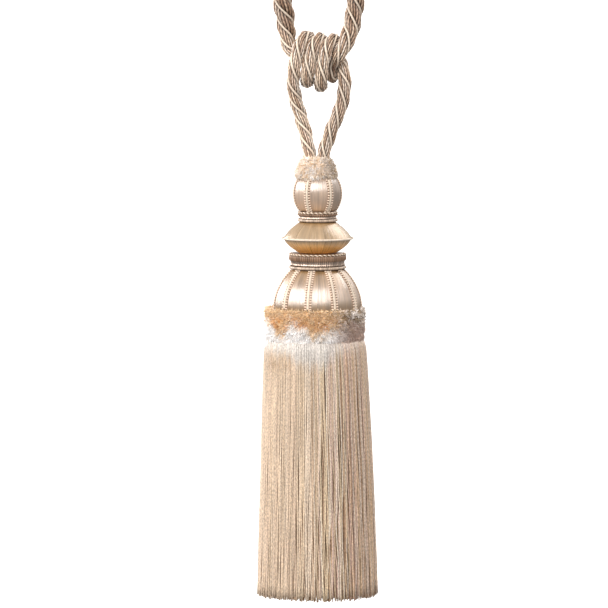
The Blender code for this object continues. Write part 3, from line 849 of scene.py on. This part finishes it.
def ring_rings(radius, height, cord_radius, sides):
    """Rings round a closed line; its ends lend each other rows to share one tangent."""
    radius, height, cord_radius = np.broadcast_arrays(radius, height, cord_radius)
    outward = beside_at(-even_turns(len(radius)))
    path = outward * radius[:, None] + UP * height[:, None]
    padded = [np.concatenate((rows[-1:], rows, rows[:1])) for rows in (path, cord_radius, outward)]
    return tube(padded[0][None], padded[1], sides, padded[2][None])[:, 1:-1]


def make_wrapped_cord(node, material, colour, uneven):
    """A cord wrapped closely in satin thread, laid in a ring."""
    radius, height, cord_radius = cord_ring_size(node)
    wraps = round(math.tau * radius / CORD_WRAP)
    swell = cord_radius * np.where(np.arange(2 * wraps) % 2, 1.0, WRAP_DIP)
    chance = np.random.default_rng(len(node))
    tint = colour * (1.0 + uneven * chance.uniform(-1.0, 1.0, (1, wraps, 1, 1)).repeat(2, axis=1))
    skin = Skin()
    skin.add(ring_rings(radius, height, swell, 10), tint, closed=True)
    dress(skin.build(f"{node}_wrapped", material), "satin_cord", node)


def make_twisted_cord(node, material, colours):
    """A fine cord of twisted strands in several colours, laid in a ring."""
    radius, height, cord_radius = cord_ring_size(node)
    height += PIPING_SHARE * cord_radius
    radius += PIPING_SHARE * cord_radius
    cord_radius *= 1.0 - PIPING_SHARE
    turns = round(math.tau * radius / CORD_TWIST)
    along = np.arange(TWIST_ROWS * turns) / TWIST_ROWS
    offset = STRAND_OFFSET * cord_radius
    skin = Skin()
    for strand, colour in enumerate(colours):
        phase = math.tau * (strand / len(colours) + along)
        strand_radius = radius + offset * np.cos(phase)
        strand_height = height + offset * np.sin(phase)
        skin.add(ring_rings(strand_radius, strand_height, STRAND_SHARE * cord_radius, 6), colour, closed=True)
    dress(skin.build(f"{node}_twisted", material), "satin_cord", node)


def make_ring(size, split, groove_depth, thread, satin, piping):
    """A wound disc between its cords: a band down to the split, a groove below it."""
    node = f"ring_{size}"
    low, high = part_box(node)
    radius, _, cord_radius = cord_ring_size(f"{node}_cord_top")
    rim = radius + cord_radius
    seat = 2 * cord_radius + CORD_ROOM
    inner = rim - seat
    top, foot = high.z - seat * (1.0 - PIPING_SHARE), low.z + seat
    profile = [(RING_CORE, high.z), (inner, high.z), (inner, top)]
    band = (0.0, split, BAND_DEPTH, BAND_BELLY, 0.0)
    groove = (split, 1.0, groove_depth, GROOVE_BELLY, GROOVE_LEAN)
    for start, end, depth, belly, lean in (band, groove):
        for share in np.linspace(0.0, 1.0, 5):
            out = belly * math.sin(math.pi * share) + lean * (share - 0.5)
            profile.append((rim - RIM_STEP - depth + out, mixed(top, foot, mixed(start, end, share))))
    profile += [(inner, foot), (inner, low.z), (RING_CORE, low.z)]
    strokes = round(math.tau * rim / STROKE_WIDTH)
    rings = turned(profile, strokes, rows=80, relief=STROKE_RELIEF)
    sunk = clipped((rim - GROOVE_EDGE - np.hypot(rings[..., 0], rings[..., 1])) / GROOVE_FADE)
    # painted shade in the valley of each stroke
    tint = mixed(BAND_TAN, GROOVE_TAN, sunk[..., None]) * np.tile(STROKE_SHADE, strokes)[:, None]
    in_groove = (sunk[0].mean(axis=1) > 0.5).astype(int)
    skin = Skin()
    skin.add(rings, tint, slot=in_groove[:-1])
    dress(skin.build(f"{node}_wound", thread, satin), "ring_thread", node)
    make_twisted_cord(f"{node}_cord_top", piping, (CREAM * 1.2, RING_BROWN))
    make_wrapped_cord(f"{node}_cord_foot", piping, RING_CREAM, 0.5)


# ---- ribs

# Columns: form, ribs, degrees of the first from the front, width, form's radius
RIBS = (("ball", 6, -27.0, 3.7 * MM, ball_radius), ("dome", 10, -13.0, 4.2 * MM, dome_radius))
RIB_TOP_GAP, RIB_FOOT_GAP = 0.6 * MM, 0.2 * MM

# The core: lift off the form, half width, turns of its thread, and how flat it is
RIB_LIFT, CORE_HALF = 0.5 * MM, 0.8 * MM
CORE_WRAP, CORE_DIP = 0.42 * MM, 0.9
CORE_FLATNESS = 0.5

# A dark brown ground under the stitches, set in from the braid's edges: painted shade that shows in the gaps
# between stitches
GROUND_RADIUS, GROUND_SINK, GROUND_INSET = 0.42 * MM, 0.12 * MM, 0.65 * MM

# The stitches from the core to the edges, and the places along one with its taper
STITCH_PITCH, STITCH_THREAD = 1.35 * MM, 0.38 * MM
STITCH_LIFT, STITCH_FALL = 0.45 * MM, 0.25 * MM
STITCH_PLACES = np.array((0.0, 0.25, 0.55, 0.85, 1.0))
STITCH_TAPER = np.array((0.7, 1.0, 1.1, 0.9, 0.35))

RIB_CREAM = np.array((0.62, 0.51, 0.40))
RIB_TAN = np.array((0.84, 0.66, 0.52))
# dark brown of the ground under the stitches: painted shade for the gaps
RIB_GAP_SHADE = np.array((0.23, 0.135, 0.085))


def rib_line(radius_at, top, foot, turn, count):
    """Seats, outward normals and side ways down one meridian of a turned form."""
    height = np.linspace(top, foot, 200)
    seat = np.stack((radius_at(height), height), axis=1)
    run = run_along(seat)
    steps = np.linspace(0.0, run[-1], count)
    radius = np.interp(steps, run, seat[:, 0])
    height = np.interp(steps, run, seat[:, 1])
    slope = unit(np.stack((np.gradient(radius), np.gradient(height)), axis=1))
    away = away_at(turn)
    place = away * radius[:, None] + UP * height[:, None]
    normal = away * -slope[:, 1:2] + UP * slope[:, 0:1]
    return place, normal, np.broadcast_to(beside_at(turn), place.shape), run[-1]


def make_rib(node, radius_at, turn, width, core, edging):
    """Braid with a wrapped core and a row of small stitches down both its edges."""
    low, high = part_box(node)
    line = (radius_at, high.z - RIB_TOP_GAP, low.z + RIB_FOOT_GAP, turn)
    *_, length = rib_line(*line, 8)
    count = 2 * round(length / CORE_WRAP)
    place, normal, side, _ = rib_line(*line, count)
    swell = CORE_HALF * np.where(np.arange(count) % 2, 1.0, CORE_DIP)
    middle = (place + normal * RIB_LIFT)[None]
    rings = tube(middle, swell, 10, side[None])
    flat = ((rings - middle[:, :, None]) * normal[None, :, None]).sum(-1, keepdims=True)
    skin = Skin()
    skin.add(rings - CORE_FLATNESS * flat * normal[None, :, None], RIB_CREAM)
    # a dark ground under the stitches, painted shade for the gaps between them
    for hand in (-1.0, 1.0):
        ground = place - normal * GROUND_SINK + hand * side * (0.5 * width - GROUND_INSET)
        skin.add(tube(ground[None], GROUND_RADIUS, 6, side[None]), RIB_GAP_SHADE, slot=1)
    place, normal, side, _ = rib_line(*line, round(length / STITCH_PITCH))
    for hand in (-1.0, 1.0):
        start = place + normal * STITCH_LIFT + hand * side * CORE_HALF
        reach = hand * side * (0.5 * width - CORE_HALF) - normal * STITCH_FALL
        path = start[:, None] + reach[:, None] * STITCH_PLACES[None, :, None]
        outward = np.broadcast_to(normal[:, None], path.shape)
        skin.add(tube(path, STITCH_THREAD * STITCH_TAPER, 6, outward), RIB_TAN, slot=1)
    dress(skin.build(f"{node}_braid", core, edging), "cream_braid", node)


def make_ribs(core, edging):
    for form, count, first, width, radius_at in RIBS:
        for index in range(count):
            turn = math.radians(first) + math.tau * index / count
            make_rib(f"{form}_rib_{index + 1}", radius_at, turn, width, core, edging)


# ---- pile

GOLDEN = np.array((0.82, 0.55, 0.28))
TAN = np.array((0.76, 0.57, 0.38))
SMEAR = np.array((0.72, 0.35, 0.11))
PEACH_PILE = np.array((0.86, 0.66, 0.46))
PALE_PILE = np.array((1.0, 0.985, 0.98))
# rosy of the right side, partly the pile's colour and partly painted shade
ROSY = np.array((0.54, 0.38, 0.31))
BROWN = np.array((0.26, 0.16, 0.09))

# Shade of a tuft at its root, at its middle and at its tip: painted warm shade at the root, a painted
# highlight at the tip
PILE_ROOT_SHADE = np.array((0.95, 0.88, 0.82))
TUFT_SHADE = np.stack((PILE_ROOT_SHADE, PILE_ROOT_SHADE * 0.2 + 0.8, (1.16,) * 3))

# The low ruff's golden upper zone.  Columns: azimuth in degrees from the front,
# right positive, and the share of the ruff's height that it covers.
GOLDEN_ZONE = np.array((
    (-180, 0.50), (-160, 0.66), (-140, 0.48), (-120, 0.62), (-90, 0.42), (-62, 0.45), (-52, 0.85),
    (-42, 0.78), (-33, 0.38), (-16, 0.52), (-8, 0.80), (2, 0.80), (14, 0.66), (30, 0.52),
    (50, 0.48), (90, 0.50), (112, 0.74), (130, 0.58), (152, 0.70), (180, 0.50)))

# Outlines of the ruffs: radius and drop in millimetres
TOP_RUFF_OUTLINE = [
    (2.2, 0.2), (5.3, 0.25), (6.9, 1.2), (8.5, 3.0), (9.7, 5.4), (10.5, 8.2), (10.7, 10.4), (10.2, 12.0),
]
LOW_RUFF_OUTLINE = [
    (24.6, 0.0), (25.7, 0.7), (26.1, 2.4), (26.1, 5.4), (26.0, 9.0), (25.9, 12.5),
    (25.8, 16.2), (25.6, 18.2),
]

# Lumps, coarse and fine: share of the size, waves round, their wander and how
# often, waves down, their wander and how often
LUMP_SIZE = 1.1 * MM
LUMPS = ((1.0, 9, 2.5, 4, 800, 3, 5), (0.7, 21, 3, 7, 1500, 2, 11))

# Blotches: random values, steps in them across and down, and wander of the edges
BLOTCH_VALUES = 4096
BLOTCH_ACROSS, BLOTCH_DOWN, BLOTCH_WANDER = 157, 613, 0.6

# Tufts: their disorder, droop of all, at the foot and in the lower half, depth
# of the foot and of their roots, thickness, and shape along one
TUFT_TURN, TUFT_LEAN = 0.012, 0.75
TUFT_DROOP, FOOT_DROOP, LOWER_DROOP = 0.2, 1.4, 0.8
FOOT_DEPTH, TUFT_ROOT = 3.0 * MM, 0.8 * MM
TUFT_THICKNESS = 0.17 * MM
TUFT_PLACES = np.array((0.0, 0.55, 1.0))
TUFT_TAPER = np.array((0.9, 1.0, 0.5))
TUFT_CURL = np.array((0.0, 1.0, 0.7))
CORE_INSET = 0.75 * MM


def lumps(turn, drop):
    """A soft unevenness of cut pile, without a seam."""
    swell = 0.0
    for share, around, wander, often, down, down_wander, down_often in LUMPS:
        wave = np.sin(around * turn + wander * np.sin(often * turn))
        swell = swell + share * wave * np.cos(down * drop + down_wander * np.sin(down_often * turn))
    return 0.5 * LUMP_SIZE * swell


class Ruff:
    """A turned cushion of pile: its outline, bulge to the left, and height."""

    def __init__(self, outline, bulge, top):
        table = np.array(outline) * MM
        run = run_along(table)
        self.bulge, self.top = bulge, top
        self.run = np.linspace(0.0, run[-1], 400)
        self.radius = np.interp(self.run, run, table[:, 0])
        self.drop = np.interp(self.run, run, table[:, 1])
        self.slope = unit(np.stack((np.gradient(self.radius), np.gradient(self.drop)), axis=1))

    def at(self, run, turn):
        """Surface points, outward normals and drops at a run down the outline and a turn."""
        rows = (self.slope[:, 1], self.slope[:, 0], self.radius, self.drop)
        out, up, radius, drop = (np.interp(run, self.run, row) for row in rows)
        radius = radius + self.bulge * 0.5 * (1.0 - np.sin(turn)) + lumps(turn, drop)
        away = away_at(turn)
        place = away * radius[..., None] + UP * (self.top - drop)[..., None]
        return place, away * out[..., None] + UP * up[..., None], drop

    def scattered(self, count):
        """Even runs and turns for a number of tufts."""
        area = np.concatenate(([0.0], np.cumsum((self.radius[1:] + self.radius[:-1]) / 2)))
        index = np.arange(count)
        golden_angle = math.pi * (3.0 - math.sqrt(5.0))
        run = np.interp((index + 0.5) / count * area[-1], area, self.run)
        return run, (index * golden_angle) % math.tau - math.pi


def blotches(turn, drop, size, seed):
    """A random value from 0 to 1 that holds over patches of about that size."""
    values = np.random.default_rng(seed).uniform(0.0, 1.0, BLOTCH_VALUES)
    around = turn * SKIRT_NECK / size
    across = np.floor(around + BLOTCH_WANDER * np.sin(drop / size)).astype(int)
    down = np.floor(drop / size + BLOTCH_WANDER * np.sin(around)).astype(int)
    return values[(across * BLOTCH_ACROSS + down * BLOTCH_DOWN) % BLOTCH_VALUES]


def speckles(turn, drop, size, seed, chance):
    """Blotches with a little of each tuft's own chance, as a column."""
    own = chance.uniform(0.0, 1.0, len(turn))
    return (0.8 * blotches(turn, drop, size, seed) + 0.2 * own)[:, None]


def flecked(speckle, brown_below, brown, tan_below, tan):
    """Brown, tan and pale tufts side by side."""
    # pale tufts take the painted root shade
    paler = np.where(speckle < tan_below, tan, PALE_PILE * PILE_ROOT_SHADE)
    return np.where(speckle < brown_below, brown, paler)


def top_ruff_tint(turn, drop, chance):
    """Peach and white, flecked with brown and tan on the right."""
    speckle = speckles(turn, drop, 1.4 * MM, 5, chance)
    soft = mixed(PALE_PILE, PEACH_PILE, clipped(speckle * 1.3))
    rough = flecked(speckle, 0.3, BROWN * 1.1, 0.6, TAN * 0.72)
    return mixed(soft, rough, ramp(np.sin(turn), 0.2, 1.8)[:, None])


def low_ruff_tint(turn, drop, chance):
    """Golden above a ragged edge and pale below it; flecked on the right, and rosy there, partly the pile's
    colour and partly painted shade.
    """
    speckle = speckles(turn, drop, 1.3 * MM, 6, chance)
    share = drop / (RUFF_TOP - RUFF_FOOT)
    ragged = share + 0.22 * (blotches(turn, drop, 2.2 * MM, 7) - 0.5) + chance.normal(0.0, 0.08, len(turn))
    edge = np.interp(np.degrees(turn), GOLDEN_ZONE[:, 0], GOLDEN_ZONE[:, 1])
    rightward = ramp(np.sin(turn), 0.25, 2.2)[:, None]
    smear = np.exp(-((share - 0.44) / 0.2) ** 2) * clipped(2.2 * blotches(turn, drop, 3.0 * MM, 8) - 0.4)
    upper = mixed(mixed(GOLDEN, TAN, speckle), SMEAR, 0.9 * smear[:, None])
    rough = flecked(speckle, 0.32, BROWN * 0.7, 0.55, TAN * 0.7)
    upper = mixed(upper, rough, rightward * (np.cos(turn)[:, None] > -0.2))
    # rosy right side: partly the pile's colour, partly painted shade
    lower = mixed(PALE_PILE * (0.94 + 0.12 * speckle), ROSY, rightward)
    return mixed(lower, upper, fading(ragged - edge, 0.05)[:, None])


def tufts(skin, ruff, count, length, tint_of, chance):
    """Short tufts that stand on the ruff, each leaning its own way."""
    run, turn = ruff.scattered(count)
    turn = turn + chance.normal(0.0, TUFT_TURN, count)
    tip, normal, drop = ruff.at(run, turn)
    side = beside_at(turn)
    down = np.cross(side, normal)
    lean = chance.normal(0.0, TUFT_LEAN, (count, 2))
    foot = clipped((run - ruff.run[-1] + FOOT_DEPTH) / FOOT_DEPTH)
    lower_half = clipped(run / ruff.run[-1] * 3.0 - 1.5)
    droop = TUFT_DROOP + FOOT_DROOP * foot + LOWER_DROOP * lower_half
    way = unit(normal * 0.8 + side * lean[:, :1] + down * (lean[:, 1] + droop)[:, None])
    reach = length * (chance.uniform(0.6, 1.0, count) + 0.7 * chance.uniform(0.0, 1.0, count) ** 4)[:, None]
    lift = (way * normal).sum(axis=1, keepdims=True)
    base = tip - normal * TUFT_ROOT - way * 0.2 * reach
    path = base[:, None] + way[:, None] * reach[:, None] * TUFT_PLACES[None, :, None]
    path += normal[:, None] * (0.2 * reach * (1.0 - lift))[:, None] * TUFT_CURL[None, :, None]
    size = TUFT_THICKNESS * chance.uniform(0.8, 1.2, (count, 1)) * TUFT_TAPER
    outward = np.broadcast_to(side[:, None], path.shape)
    rings = tube(path, size, 3, outward, chance.uniform(0, 1.5, (count, 1)))
    # painted shade at the root, painted highlight at the tip
    shade = TUFT_SHADE[None, :, None] * chance.uniform(0.8, 1.1, (count, 1, 1, 1))
    skin.add(rings, tint_of(turn, drop, chance)[:, None, None] * shade)


def pile_core(skin, ruff, hollow, rows, sides, tint_of, chance):
    """The close ground of the pile between its tufts, down to a hollow inside."""
    run = np.linspace(0.0, ruff.run[-1], rows)[:, None] + np.zeros((1, sides))
    turn = -even_turns(sides)[None] + np.zeros((rows, 1))
    place, way, drop = ruff.at(run, turn)
    place = place - way * CORE_INSET
    # the ground between tufts takes the painted root shade
    tint = tint_of(turn.ravel(), drop.ravel(), chance).reshape(place.shape) * PILE_ROOT_SHADE
    inside = away_at(turn[:1]) * hollow
    points = np.concatenate((inside + UP * place[0, 0, 2], place, inside + UP * place[-1, 0, 2]))
    tint = np.concatenate((tint[:1], tint, tint[-1:]))
    skin.add(points[None], tint[None], closed=True)


def make_ruff(node, ruff, hollow, grid, count, length, tint_of, seed, pile):
    chance = np.random.default_rng(seed)
    skin = Skin()
    pile_core(skin, ruff, hollow, *grid, tint_of, chance)
    tufts(skin, ruff, count, length, tint_of, chance)
    dress(skin.build(f"{node}_pile", pile), "cut_pile", node)


def make_top_ruff(pile):
    ruff = Ruff(TOP_RUFF_OUTLINE, bulge=1.7 * MM, top=HEAD_TOP)
    make_ruff("ruff_top", ruff, 1.5 * MM, (36, 160), 4600, 2.1 * MM, top_ruff_tint, 21, pile)


def make_low_ruff(pile):
    ruff = Ruff(LOW_RUFF_OUTLINE, bulge=3.1 * MM, top=RUFF_TOP)
    make_ruff("ruff_low", ruff, 24.6 * MM, (40, 260), 11500, 2.3 * MM, low_ruff_tint, 22, pile)


# ---- skirt

SKIRT_TOP = RUFF_FOOT + 1.6 * MM
SKIRT_LENGTH = SKIRT_TOP - SKIRT_FOOT
SKIRT_SWELL = 4.0 * MM
SKIRT_SWELL_DROP = 1.7 * MM
SKIRT_FLARE = 5.6 * MM
STRAND_RADIUS = 0.36 * MM

# Radii of the heading that the threads hang from: axis end, collar and band
HEADING_CORE, COLLAR_RADIUS, HEADING_RADIUS = 1.0 * MM, 22.6 * MM, 25.2 * MM

SKIRT_CHAMPAGNE = np.array((0.56, 0.44, 0.31))
SKIRT_THREADS = np.array((
    (0.63, 0.50, 0.34), (0.64, 0.50, 0.37), (0.62, 0.49, 0.33), (0.72, 0.63, 0.52), (0.63, 0.57, 0.48),
    (0.62, 0.48, 0.40), (0.56, 0.42, 0.35), (0.55, 0.45, 0.31), (0.44, 0.30, 0.19)))
# colour of the painted highlight near the skirt's top
SKIRT_HIGHLIGHT = np.array((0.60, 0.57, 0.54))

# Shares of the threads' colour: painted rosy shade on the right side, a darker band on the left, and
# painted shade from DEEP_INSET millimetres inside the skirt
ROSY_SHARE = np.array((0.86, 0.79, 0.77))
DARK_BAND_SHARE = np.array((0.74, 0.64, 0.52))
DARK_BAND_TURN = -0.95
DARK_BAND_DROP = 14.0 * MM
DEEP_SHARE = np.array((0.88, 0.68, 0.53))
DEEP_INSET = 2.0

# The painted highlight where the threads catch light below the ruff: how far down it reaches by degrees from
# the front, how softly it ends, and its strength on the left and on the right
HIGHLIGHT_REACH = ((-90.0, -35.0, -22.0, 8.0, 30.0, 90.0), (6.5, 7.5, 14.0, 15.0, 9.0, 5.0))
HIGHLIGHT_SOFTNESS = 1.2 * MM
HIGHLIGHT_STRENGTH = (0.8, 0.2)

# Layers of strands from the outside in: strands, inset in millimetres, strand
# radius as a multiple of STRAND_RADIUS, rows and sides.
OUTER_LAYERS = [(272, 0.4, 1.0, 30, 5), (262, 1.1, 1.0, 30, 5)]
INNER_LAYERS = [
    (230, 2.0, 1.05, 16, 4), (190, 3.2, 1.15, 12, 4), (120, 5.2, 1.7, 6, 4),
    (96, 8.2, 1.9, 6, 4), (72, 12.0, 2.1, 5, 4), (52, 16.0, 2.3, 5, 4),
    (34, 20.0, 2.5, 5, 4), (18, 25.0, 2.7, 5, 4), (7, 29.5, 2.8, 5, 4),
]

# Sway: waves down the skirt and their size in millimetres, and the shares of it
# that are a strand's own and its neighbours' too
SWAY = ((1.3, 0.34), (3.1, 0.28), (6.3, 0.15), (13.0, 0.06))
OWN_SWAY, SHARED_SWAY = 0.62, 1.1

# Partings: how many on the right and anywhere, their widths in millimetres, the
# share of that on the left, starts and lengths as shares of the skirt, and reach
RIGHT_PARTINGS, OTHER_PARTINGS = 18, 26
PARTING_WIDTHS, LEFT_PARTING = (0.1, 0.34), 0.2
PARTING_STARTS, PARTING_LENGTHS = (0.02, 0.55), (0.25, 0.6)
PARTING_REACH = 2.2 * MM

# Strands: disorder of their turns, lengths past the skirt's in millimetres, how
# their rows bunch at the top, how they loosen downwards and bob in and out, and
# how much they differ in thickness and in shade
STRAND_JITTER, STRAND_LENGTHS = 0.12, (-2.6, 0.8)
ROW_BUNCHING, LOOSENING, LEAN_FADE = 1.15, 0.8, 1.8
OWN_BOB, WAVE_BOB, BOB_WAVES = 0.22 * MM, 0.16 * MM, 2.2
STRAND_WIDTHS, STRAND_SHADES = (0.88, 1.12), (0.86, 1.1)


def skirt_radius(drop):
    swell = SKIRT_SWELL * (1.0 - np.exp(-drop / SKIRT_SWELL_DROP))
    return SKIRT_NECK + swell + SKIRT_FLARE * np.maximum(drop / SKIRT_LENGTH, 0.0) ** 0.75


def partings(chance):
    """Places where the threads part: turn, width, start and length of its drop."""
    right = np.radians(chance.uniform(2, 84, RIGHT_PARTINGS))
    turns = np.concatenate((right, chance.uniform(-math.pi, math.pi, OTHER_PARTINGS)))
    sides = np.where(np.sin(turns) < 0.0, LEFT_PARTING, 1.0)
    widths = chance.uniform(*PARTING_WIDTHS, len(turns)) * sides * MM
    starts = chance.uniform(*PARTING_STARTS, len(turns)) * SKIRT_LENGTH
    lengths = chance.uniform(*PARTING_LENGTHS, len(turns)) * SKIRT_LENGTH
    return list(zip(turns, widths, starts, lengths))


def strand_sway(turn, share, drop, loose, parts, chance):
    """How far strands wander round the skirt along their length; least on the left."""
    sway = np.zeros_like(drop)
    for waves, size in SWAY:
        start = chance.uniform(0.0, math.tau, (len(turn), 1))
        sway += OWN_SWAY * size * MM * np.sin(math.tau * waves * share + start)
        near = 19 * waves * turn[:, None]
        sway += SHARED_SWAY * size * MM * np.sin(math.tau * waves * 0.7 * share + near)
    sway *= loose * (1.0 - 0.6 * clipped(0.2 - np.sin(turn)))[:, None]
    for place, width, top, length in parts:
        away = (turn - place + math.pi) % math.tau - math.pi
        reach = np.exp(-np.abs(away) * SKIRT_NECK / PARTING_REACH) * np.sign(away)
        sway += width * reach[:, None] * np.sin(math.pi * clipped((drop - top) / length))
    return sway


def strand_tint(turn, drop, inset, chance):
    """A thread's own colour, calmer on the left, with a painted highlight near the top, painted rosy shade on
    the right, painted shade inside and a darker band on the left.
    """
    count = len(turn)
    right = np.sin(turn)
    tint = SKIRT_THREADS[chance.integers(0, len(SKIRT_THREADS), count)]
    tint = tint * chance.uniform(*STRAND_SHADES, (count, 1))
    tint = mixed(tint, SKIRT_THREADS.mean(axis=0), np.clip(0.35 - right, 0.0, 0.8)[:, None])
    # painted shade on the inner layers
    tint = (tint * mixed(1.0, DEEP_SHARE, min(inset, DEEP_INSET) / DEEP_INSET))[:, None]
    # painted highlight near the top of the skirt
    reach = np.interp(np.degrees(turn), *HIGHLIGHT_REACH)[:, None] + chance.normal(0.0, 1.3, (count, 1))
    strength = mixed(*HIGHLIGHT_STRENGTH, ramp(right, 0.4 / 1.5, 1.5))[:, None]
    glow = fading(drop - reach * MM, HIGHLIGHT_SOFTNESS) * strength
    tint = mixed(tint, SKIRT_HIGHLIGHT, glow[..., None])
    # painted rosy shade on the right side
    tint = tint * mixed(1.0, ROSY_SHARE, ramp(right, 0.2, 2.0)[:, None, None])
    # a darker brownish band on the left, below the top
    in_dark_band = chance.uniform(0.2, 1.0, count) * (chance.uniform(0.0, 1.0, count) < 0.7)
    in_dark_band = in_dark_band * (np.abs(turn - DARK_BAND_TURN) < 0.5)
    reach = DARK_BAND_DROP + chance.normal(0.0, 2.0 * MM, (count, 1))
    dark_band = np.exp(-((drop - reach) / (3.5 * MM)) ** 2) * in_dark_band[:, None]
    return tint * mixed(1.0, DARK_BAND_SHARE, dark_band[..., None])


def strand_layer(skin, layer, phase, parts, chance):
    """One layer of hanging strands, looser and more uneven towards their ends."""
    count, inset, size, rows, sides = layer
    turn = math.tau * (np.arange(count) + phase) / count - math.pi
    turn = turn + chance.normal(0.0, STRAND_JITTER, count) * math.tau / count
    length = SKIRT_LENGTH + chance.uniform(*STRAND_LENGTHS, count) * MM
    share = np.linspace(0.0, 1.0, rows) ** ROW_BUNCHING
    drop = length[:, None] * share
    radius = np.maximum(skirt_radius(drop) - inset * MM, 1.5 * MM)
    radius = radius * (1.0 - inset / 60.0 * (1.0 - share))
    loose = (drop / SKIRT_LENGTH) ** LOOSENING
    sway = strand_sway(turn, share, drop, loose, parts, chance)
    bob = OWN_BOB * chance.uniform(-1.0, 1.0, (count, 1))
    start = chance.uniform(0.0, math.tau, (count, 1))
    bob = bob + WAVE_BOB * np.sin(math.tau * BOB_WAVES * share + start)
    radius = radius + bob * loose
    outward = away_at(turn[:, None] + sway / radius)
    path = outward * radius[..., None] + UP * (SKIRT_TOP - drop)[..., None]
    path[..., 0] += SKIRT_LEAN * clipped(1.0 - drop / SKIRT_LENGTH) ** LEAN_FADE
    tint = strand_tint(turn, drop, inset, chance)
    thickness = STRAND_RADIUS * size * chance.uniform(*STRAND_WIDTHS, (count, 1))
    skin.add(tube(path, thickness, sides, outward), tint[:, :, None])


def heading_rings():
    """The wound heading: a collar up inside the ruff and a wider band under it."""
    low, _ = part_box("dome")
    top, step, foot = low.z - 0.4 * MM, RUFF_FOOT - 0.3 * MM, SKIRT_TOP - 3.0 * MM
    profile = [
        (HEADING_CORE, top), (COLLAR_RADIUS, top), (COLLAR_RADIUS, step),
        (HEADING_RADIUS, step), (HEADING_RADIUS, foot), (HEADING_CORE, foot),
    ]
    rings = turned(profile, threads=90, rows=16)
    rings[..., 0] += SKIRT_LEAN * (rings[..., 2] < step + 0.1 * MM)
    return rings


def make_skirt(thread, filling):
    chance = np.random.default_rng(31)
    parts = partings(chance)
    outer, inner = Skin(), Skin()
    for index, layer in enumerate(OUTER_LAYERS):
        strand_layer(outer, layer, 0.5 * index, parts, chance)
    for index, layer in enumerate(INNER_LAYERS):
        strand_layer(inner, layer, 0.25 + 0.37 * index, parts, chance)
    inner.add(heading_rings(), SKIRT_CHAMPAGNE * 0.9)
    dress(outer.build("skirt_threads", thread), "skirt_thread", "skirt")
    dress(inner.build("skirt_filling", filling), "skirt_thread")


# ---- make

make_camera()
# Yarn by roughness, streaks of fibre, pitch, relief, sparkle and how far its
# clouds are drawn out
ROPE_YARN = rope_material("rope_yarn", 0.5, 2.2 * MM, 0.12 * MM)
SATIN_CORD = yarn_material("satin_cord", 0.34, 0.06, 1.1 * MM, 0.06 * MM)
make_rope(ROPE_YARN, SATIN_CORD)
make_studio()
EDGING = yarn_material("braid_edging", 0.6, 0.12, 0.8 * MM, 0.03 * MM)
THREAD = yarn_material("skirt_thread", 0.36, 0.12, 1.6 * MM, 0.10 * MM, 0.38, 12.0, Specular_IOR_Level=0.8)
FILLING = yarn_material("skirt_filling", 0.7, 0.12, 1.6 * MM, 0.10 * MM, 0.3, Specular_IOR_Level=0.1)
PILE = pile_material("cut_pile")

# Satin by roughness, threads round the form, streaks, metallic share, gloss and
# how far the gloss is spread across the threads
SATIN = satin_material("satin_thread", 0.34, 190.0, 0.30, 0.15, 1.0, 0.88)
BALL_SATIN = satin_material("ball_thread", 0.36, 190.0, 0.30, 0.10, 1.0, 0.85)
SPINDLE_SATIN = satin_material("spindle_thread", 0.30, 300.0, 0.22, 0.15, 0.6, 0.4)
BAND_THREAD = satin_material("ring_thread", 0.5, 150.0, 0.3, 0.1, 0.2, 1.0)
GROOVE_SATIN = satin_material("groove_thread", 0.22, 150.0, 0.3, 0.85, 0.5, 0.0)

make_ball(BALL_SATIN)
make_dome(SATIN)
make_spindle(SPINDLE_SATIN, SATIN_CORD)
make_ring("small", 0.4, 0.5 * MM, BAND_THREAD, GROOVE_SATIN, SATIN_CORD)
make_ring("large", 0.5, 0.6 * MM, BAND_THREAD, GROOVE_SATIN, SATIN_CORD)
make_ribs(SATIN_CORD, EDGING)
make_top_ruff(PILE)
make_low_ruff(PILE)
make_skirt(THREAD, FILLING)
